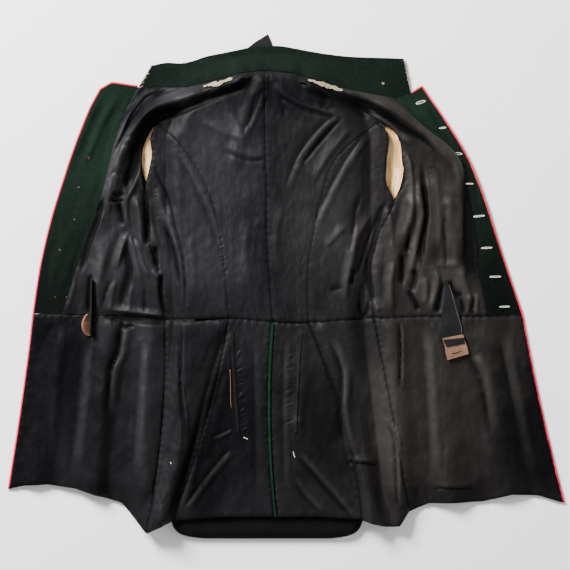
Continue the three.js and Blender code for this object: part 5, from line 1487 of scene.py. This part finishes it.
class TUNIC_OT_piping(bpy.types.Operator):
    """The scarlet roll along each front edge and round to the collar"""

    bl_idname = "tunic.piping"
    bl_label = "Piping"

    def execute(self, context):
        sizes = context.scene.tunic_sizes
        scarlet = all_materials(context)["scarlet"]
        for side, sign in (("R", -1), ("L", 1)):
            edge = f"edge{side}"
            low = skirt_points(edge, edge, 0.0, np.linspace(0, 1, 60)[:-1])
            high = body_points(edge, np.linspace(WAIST_LEVEL, NECK_LEVEL, 90))
            neck = np.array([BODY_LINES[line][-1] for line in PIPING_ENDS[side]], float)
            share = np.linspace(0, len(neck) - 1.03, 8 * len(neck))
            neck = np.column_stack([np.interp(share, range(len(neck)), part) for part in neck.T])
            plan = np.vstack([low, high, neck[1:]])
            moved = offset_plan(plan, sign * 1.2)
            wobble = 0.25 * np.sin(np.arange(len(moved)) * 1.9) * np.sin(np.arange(len(moved)) * 0.37)
            height = lift(plan[:, 0], plan[:, 1]) + sizes.wool + wobble
            bm = sweep(np.column_stack([moved, height]), sizes.piping)
            piece(f"scarlet_piping_{side}", bm, scarlet, [f"piping_{side}"])
        return {"FINISHED"}


def highest_around(height_at, x, y, reach):
    """The highest that a surface is at points in plan and beside them"""
    steps = ((0, 0), (reach, 0), (-reach, 0), (0, reach), (0, -reach))
    return np.max([height_at(x + dx, y + dy) for dx, dy in steps], axis=0)


def on_satin(x, y, sizes):
    """The lining's upper side at points in plan, clear of its creases"""
    return highest_around(lambda px, py: satin_height(px, py, sizes, satin_creases(px, py, sizes)), x, y, 4)


def on_facing(x, y, sizes):
    """The facing's upper side at points in plan, clear of its creases"""
    return highest_around(lambda px, py: facing_height(px, py, sizes), x, y, 1.5)


def clear_of_dips(height):
    """Heights that don't follow hollows more than a millimetre below their mean"""
    return np.maximum(height, height.mean() - 1)


def strip_grid(rows, across=7):
    """A strip in plan from (point, half width, turn) rows"""
    rows = [(x, y, half, turn) for (x, y), half, turn in rows]
    fine = along_curve(rows, 8 * len(rows))
    spread = np.linspace(-1, 1, across)
    x = fine[:, :1] + fine[:, 2:3] * spread * np.cos(fine[:, 3:4])
    y = fine[:, 1:2] + fine[:, 2:3] * spread * np.sin(fine[:, 3:4])
    return np.dstack([x, y])


# Rows of the flat strap and its leather tab: point, half width, turn. Of those on edge, the points.
STRAP_L = [
    ([272, 11], 1, 0.02), ([274, -3], 5, 0.04), ([277, -23], 10, 0.08), ([279, -49], 15, 0.12),
    ([280, -85], 18.5, 0.12), ([285, -98], 18.5, 0.22),
]
TAB_L = [([282, -85], 18, 0.18), ([286, -98], 18, 0.24), ([288, -107], 19, 0.26), ([291, -120], 19, 0.28)]
# The strap's end through the slots of the left tab, the row of stitches under it and the strap's worn edge
STRAP_END_L = [([284, -89], 17.5, 0.1), ([285, -94], 17, 0.14), ([287, -100], 15.5, 0.2)]
TAB_SLIT = [[281, -114], [288, -113], [296, -110]]
STRAP_EDGE = [[277, 2], [284, -23], [291, -49], [297, -69], [298, -81]]
STRAP_R = [[-332, 14], [-333, -10], [-333, -34], [-334, -57], [-335, -81]]
TAB_R = [[-334, -47], [-336, -59], [-336, -73], [-334, -84]]


class TUNIC_OT_straps(bpy.types.Operator):
    """The belt-hook straps with their leather tabs: flat on the left, on edge on the right"""

    bl_idname = "tunic.straps"
    bl_label = "Belt straps"

    def execute(self, context):
        sizes = context.scene.tunic_sizes
        materials = all_materials(context)
        for name, rows, cloth, slot, thickness, over in (
            ("strap_L", STRAP_L, "tape", "black_tape", 1.4, 0.6),
            ("hook_tab_L", TAB_L, "leather", "hook_leather", 2.4, 2.4),
            ("strap_end_L", STRAP_END_L, "tape", "black_tape", 1, 5.1),
        ):
            grid = strip_grid(rows)
            height = on_satin(grid[..., 0], grid[..., 1], sizes)
            height = clear_of_dips(height) + over + thickness
            bm = sheet_mesh(stacked(grid, height))
            thicken(bm, thickness)
            nodes = [] if name == "strap_end_L" else [name]
            piece(f"{cloth}_{name}", bm, materials[cloth], nodes)
        for name, path, over, cloth, slot in (
            ("tab_slit", TAB_SLIT, 5, "tape", "hook_leather"),
            ("strap_edge", STRAP_EDGE, 2.4, "worn_tape", "black_tape"),
        ):
            path = along_curve(path, 24)
            height = clear_of_dips(on_satin(path[:, 0], path[:, 1], sizes)) + over
            threads(name, [np.column_stack([path, height])], 0.55, materials[cloth], slot)
        for name, points, height, thickness, lean, cloth, slot in (
            ("strap_R", STRAP_R, 13, 1.4, 3, "tape", "black_tape"),
            ("hook_tab_R", TAB_R, 10, 2.4, -10, "leather", "hook_leather"),
        ):
            path = along_curve(points, 30)
            foot = on_satin(path[:, 0], path[:, 1], sizes) + 0.4
            rise = np.linspace(0, 1, 8)
            bulge = np.ones(len(path))
            if cloth == "leather":
                bulge = np.sin(np.linspace(0.25, math.pi - 0.25, len(path))) ** 0.7
            rings = []
            for (x, y), z, share in zip(path, foot, bulge):
                left = [(x + lean * r * share, y, z + height * r * share) for r in rise]
                right = [(px + thickness, py, pz) for px, py, pz in left[::-1]]
                rings.append(left + right)
            bm = tube_mesh(np.array(rings), cap=True)
            mark_sharp(bm)
            piece(f"{cloth}_{name}", bm, materials[cloth], [name])
        return {"FINISHED"}


# Welts of the tail pockets
WELTS = {
    "R": [[-92, -76], [-91, -108], [-89, -146], [-87, -180], [-84, -214], [-82, -246]],
    "L": [[25, -78], [22, -112], [20, -146], [18, -180], [16, -214], [15, -248]],
}


def threads(name, paths, radius, cloth, slot):
    """Sewn threads along paths of points in millimetres, as one piece"""
    whole = bmesh.new()
    for path in paths:
        one = sweep(path, radius, 6)
        mesh = bpy.data.meshes.new("thread")
        one.to_mesh(mesh)
        one.free()
        whole.from_mesh(mesh)
        bpy.data.meshes.remove(mesh)
    return piece(name, whole, cloth)


# Darning threads on the right facing, and the frayed ends of the collar
FACING_THREADS = [
    [[-337, 220], [-334, 218], [-335, 215]], [[-354, 167], [-352, 169], [-351, 167]],
    [[-361, 114], [-358, 112]], [[-386, 63], [-383, 60]], [[-393, -17], [-392, -20]],
    [[-374, -18], [-371, -21]],
]
COLLAR_THREADS = [
    [[-228, 377], [-233, 374], [-234, 376]], [[-231, 371], [-235, 368], [-234, 364]],
    [[-233, 362], [-239, 360], [-239, 356]], [[-238, 356], [-243, 352], [-242, 349]],
    [[-242, 347], [-247, 345], [-250, 341]], [[-244, 342], [-246, 339]],
    [[198, 385], [203, 381], [202, 377]], [[202, 373], [205, 369]],
    [[203, 364], [207, 361], [206, 356]], [[206, 352], [209, 349]], [[209, 345], [212, 341]],
    [[18, 404], [21, 405], [23, 404]], [[-176, 380], [-173, 383]], [[-74, 405], [-72, 407]],
]
COLLAR_EYELET, EYELET_RADIUS = [165, 345], 1.7

# On the lining of the tails: a stay's row of brown thread, and the pale bars at the ends of the pockets
STAY_THREADS = [[[-95, -141], [-94, -163], [-94, -185], [-93, -207]]]
BAR_THREADS = [
    [[-72, -256], [-69, -257], [-65, -259]], [[12, -280], [13, -285], [15, -290]],
    [[-196, -297], [-194, -300]],
]
# The seams of the skirts' linings where they show as dark lines, and the ends of the green line at the hem
TUCK_THREADS = [
    [[189, -61], [191, -91], [193, -129], [195, -173]],
    [[-180, -69], [-178, -108], [-174, -159], [-169, -210]],
    [[107, -287], [110, -299], [127, -302], [144, -304]],
]
HEM_ENDS = (-86, 76)

# Where the lining is torn at the neck seam and the cream canvas shows: point and half width
TORN = {
    "R": [([-140, 339], 1.4), ([-126, 341], 2.6), ([-114, 343], 3.4), ([-103, 347], 3.0), ([-91, 351], 1.6)],
    "L": [([37, 349], 1.4), ([50, 345], 2.6), ([66, 340], 3.2), ([81, 336], 2.8), ([96, 332], 1.4)],
}


class TUNIC_OT_stitches(bpy.types.Operator):
    """Worked buttonholes, darns and frayed threads"""

    bl_idname = "tunic.stitches"
    bl_label = "Stitches"

    def execute(self, context):
        sizes = context.scene.tunic_sizes
        materials = all_materials(context)
        rings = []
        for (x, y), length, gape_width, turn in BUTTONHOLES:
            angle = np.linspace(0, 2 * math.pi, 25)
            c, s = math.cos(math.radians(turn)), math.sin(math.radians(turn))
            along, across = (length / 2 - 0.2) * np.cos(angle), (gape_width / 2 + 0.1) * np.sin(angle)
            px, py = x + along * c - across * s, y + along * s + across * c
            rings.append(np.column_stack([px, py, on_facing(px, py, sizes) + 0.3]))
        threads("buttonhole_edges", rings, 0.5, materials["thread"], "facing_wool")

        def drawn(paths, height_at, above):
            made = []
            for path in paths:
                points = along_curve(path, 9)
                made.append(np.column_stack([points, height_at(points) + above]))
            return made

        facing = drawn(FACING_THREADS, lambda p: on_facing(*p.T, sizes), 0.3)
        threads("facing_darns", facing, 0.45, materials["brown_thread"], "facing_wool")
        angle = np.linspace(0, 2 * math.pi, 13)
        eyelet = np.column_stack([np.cos(angle), np.sin(angle)]) * EYELET_RADIUS + COLLAR_EYELET
        eyelet = np.column_stack([eyelet, on_collar(eyelet, sizes) + 0.3])
        frayed = drawn(COLLAR_THREADS, lambda p: on_collar(p, sizes), 0.2)
        threads("collar_threads", [*frayed, eyelet], 0.45, materials["frayed"], "facing_wool")
        stays = drawn(STAY_THREADS, lambda p: on_satin(*p.T, sizes), 0.2)
        threads("stay_thread", stays, 0.5, materials["brown_thread"], "lining_satin")
        bars = drawn(BAR_THREADS, lambda p: on_satin(*p.T, sizes), 0.3)
        threads("pocket_bars", bars, 0.55, materials["thread"], "lining_satin")
        tucks = drawn(TUCK_THREADS, lambda p: on_satin(*p.T, sizes), 0.1)
        threads("tuck_threads", tucks, 0.45, materials["tape"], "lining_satin")
        hem_x = np.linspace(*HEM_ENDS, 40)
        hem_y = seam_y(HEM, hem_x) + 2.4
        hem = np.column_stack([hem_x, hem_y, lift(hem_x, hem_y) + sizes.wool + 1.4])
        threads("tail_hem", [hem], 1.1, materials["edge"], "facing_wool")
        return {"FINISHED"}


class TUNIC_OT_torn_lining(bpy.types.Operator):
    """The cream canvas that shows where the lining is torn at the neck"""

    bl_idname = "tunic.torn_lining"
    bl_label = "Torn lining"

    def execute(self, context):
        sizes = context.scene.tunic_sizes
        canvas = all_materials(context)["canvas"]
        for side, rows in TORN.items():
            grid = strip_grid([(point, half, 0.0) for point, half in rows])
            middle_x, middle_y = grid[:, 3:4, 0], grid[:, 3:4, 1]
            # Turned so that the strip's width runs along y
            grid = np.dstack([np.repeat(middle_x, 7, axis=1), middle_y + (grid[..., 0] - middle_x)])
            edge = np.broadcast_to(40 * np.sign(np.linspace(-1, 1, 7)), grid.shape[:2])
            ragged = 1 + 1.5 * crumple(grid[..., 0], edge, 9.2, 6.1)
            grid[..., 1] += (grid[..., 1] - grid[:, 3:4, 1]) * (np.clip(ragged, 0.5, 1.5) - 1)
            height = on_satin(grid[..., 0], grid[..., 1], sizes) + 0.9
            bm = sheet_mesh(stacked(grid, height))
            thicken(bm, 0.6)
            piece(f"torn_lining_{side}", bm, canvas, ())
        return {"FINISHED"}


class TUNIC_OT_tails(bpy.types.Operator):
    """What lies on the tails: the vent's green edge and the welts of the tail pockets"""

    bl_idname = "tunic.tails"
    bl_label = "Tails"

    def execute(self, context):
        sizes = context.scene.tunic_sizes
        materials = all_materials(context)
        middle = skirt_points("centre", "centre", 0.0, np.linspace(0.012, 0.998, 90))
        half = np.linspace(1.7, 2.3, len(middle))[:, None]
        grid = np.dstack([middle[:, :1] + half * np.linspace(-1, 1, 5), np.repeat(middle[:, 1:], 5, axis=1)])
        height = on_satin(grid[..., 0], grid[..., 1], sizes) + sizes.facing + 0.5
        bm = sheet_mesh(stacked(grid, height))
        thicken(bm, sizes.facing)
        piece("green_vent_edge", bm, materials["edge"], ["vent_edge"])
        for side, points in WELTS.items():
            grid = strip_grid([(p, 2.4, 0) for p in points])
            height = on_satin(grid[..., 0], grid[..., 1], sizes)
            bm = sheet_mesh(stacked(grid, height + 1.3))
            thicken(bm, 1.2)
            name = f"pocket_welt_{side}"
            piece(f"satin_{name}", bm, materials["satin"], [name])
        return {"FINISHED"}


# The loop's outline in plan and its height
LOOP_HEIGHT = 2.4
LOOP_OUTLINE = [[-69, 388], [-70, 403], [-52, 417], [-31, 430], [-24, 413], [-28, 391]]


class TUNIC_OT_hanger_loop(bpy.types.Operator):
    """The folded tape behind the collar"""

    bl_idname = "tunic.hanger_loop"
    bl_label = "Hanger loop"

    def execute(self, context):
        bm = bmesh.new()
        verts = [bm.verts.new((x * MM, y * MM, LOOP_HEIGHT * MM)) for x, y in LOOP_OUTLINE]
        bm.faces.new(verts)
        bmesh.ops.recalc_face_normals(bm, faces=bm.faces[:])
        thicken(bm, LOOP_HEIGHT)
        bmesh.ops.bevel(
            bm, geom=bm.edges[:], offset=0.5 * MM, segments=2, profile=0.5, affect="EDGES", material=-1
        )
        piece("tape_hanger_loop", bm, all_materials(context)["tape"], ["hanger_loop"])
        return {"FINISHED"}


class TUNIC_OT_buttons(bpy.types.Operator):
    """Plain domed buttons under the right front"""

    bl_idname = "tunic.buttons"
    bl_label = "Buttons"

    def execute(self, context):
        gilt = all_materials(context)["gilt"]
        for i, (x, y) in enumerate(button_places(), 1):
            bm = bmesh.new()
            verts = [bm.verts.new((r * MM, 0, z * MM)) for r, z in BUTTON_PROFILE]
            edges = [bm.edges.new(pair) for pair in zip(verts, verts[1:])]
            bmesh.ops.spin(
                bm, geom=verts + edges, axis=(0, 0, 1), cent=(0, 0, 0),
                steps=32, angle=2 * math.pi, use_merge=True,
            )
            bmesh.ops.remove_doubles(bm, verts=bm.verts[:], dist=1e-6)
            bmesh.ops.recalc_face_normals(bm, faces=bm.faces[:])
            bmesh.ops.translate(bm, verts=bm.verts[:], vec=(x * MM, y * MM, 0))
            mark_sharp(bm)
            piece(f"gilt_button_{i}", bm, gilt, [f"button_{i}"])
        return {"FINISHED"}


# In the order in which they are run
OPERATORS = [
    TUNIC_OT_stage,
    TUNIC_OT_display_form,
    TUNIC_OT_outer_cloth,
    TUNIC_OT_lining,
    TUNIC_OT_facings,
    TUNIC_OT_collar,
    TUNIC_OT_sleeves,
    TUNIC_OT_piping,
    TUNIC_OT_straps,
    TUNIC_OT_stitches,
    TUNIC_OT_torn_lining,
    TUNIC_OT_tails,
    TUNIC_OT_hanger_loop,
    TUNIC_OT_buttons,
]


class TUNIC_PT_panel(bpy.types.Panel):
    """Sizes, colours and steps of the tunic"""

    bl_idname = "TUNIC_PT_panel"
    bl_label = "Laid-open tunic"
    bl_space_type = "VIEW_3D"
    bl_region_type = "UI"
    bl_category = "Tunic"

    def draw(self, context):
        for group_name in ("tunic_sizes", "tunic_colours"):
            box = self.layout.box()
            settings = getattr(context.scene, group_name)
            for key in settings.bl_rna.properties.keys():
                if key not in {"rna_type", "name"}:
                    box.prop(settings, key)
        for operator in OPERATORS:
            self.layout.operator(operator.bl_idname)


CLASSES = [TunicSizes, TunicColours, *OPERATORS, TUNIC_PT_panel]


def register():
    for cls in CLASSES:
        bpy.utils.register_class(cls)
    bpy.types.Scene.tunic_sizes = PointerProperty(type=TunicSizes)
    bpy.types.Scene.tunic_colours = PointerProperty(type=TunicColours)


def unregister():
    del bpy.types.Scene.tunic_sizes
    del bpy.types.Scene.tunic_colours
    for cls in reversed(CLASSES):
        bpy.utils.unregister_class(cls)


def main():
    register()
    for operator in OPERATORS:
        getattr(bpy.ops.tunic, operator.bl_idname.removeprefix("tunic."))()


if __name__ == "__main__":
    main()
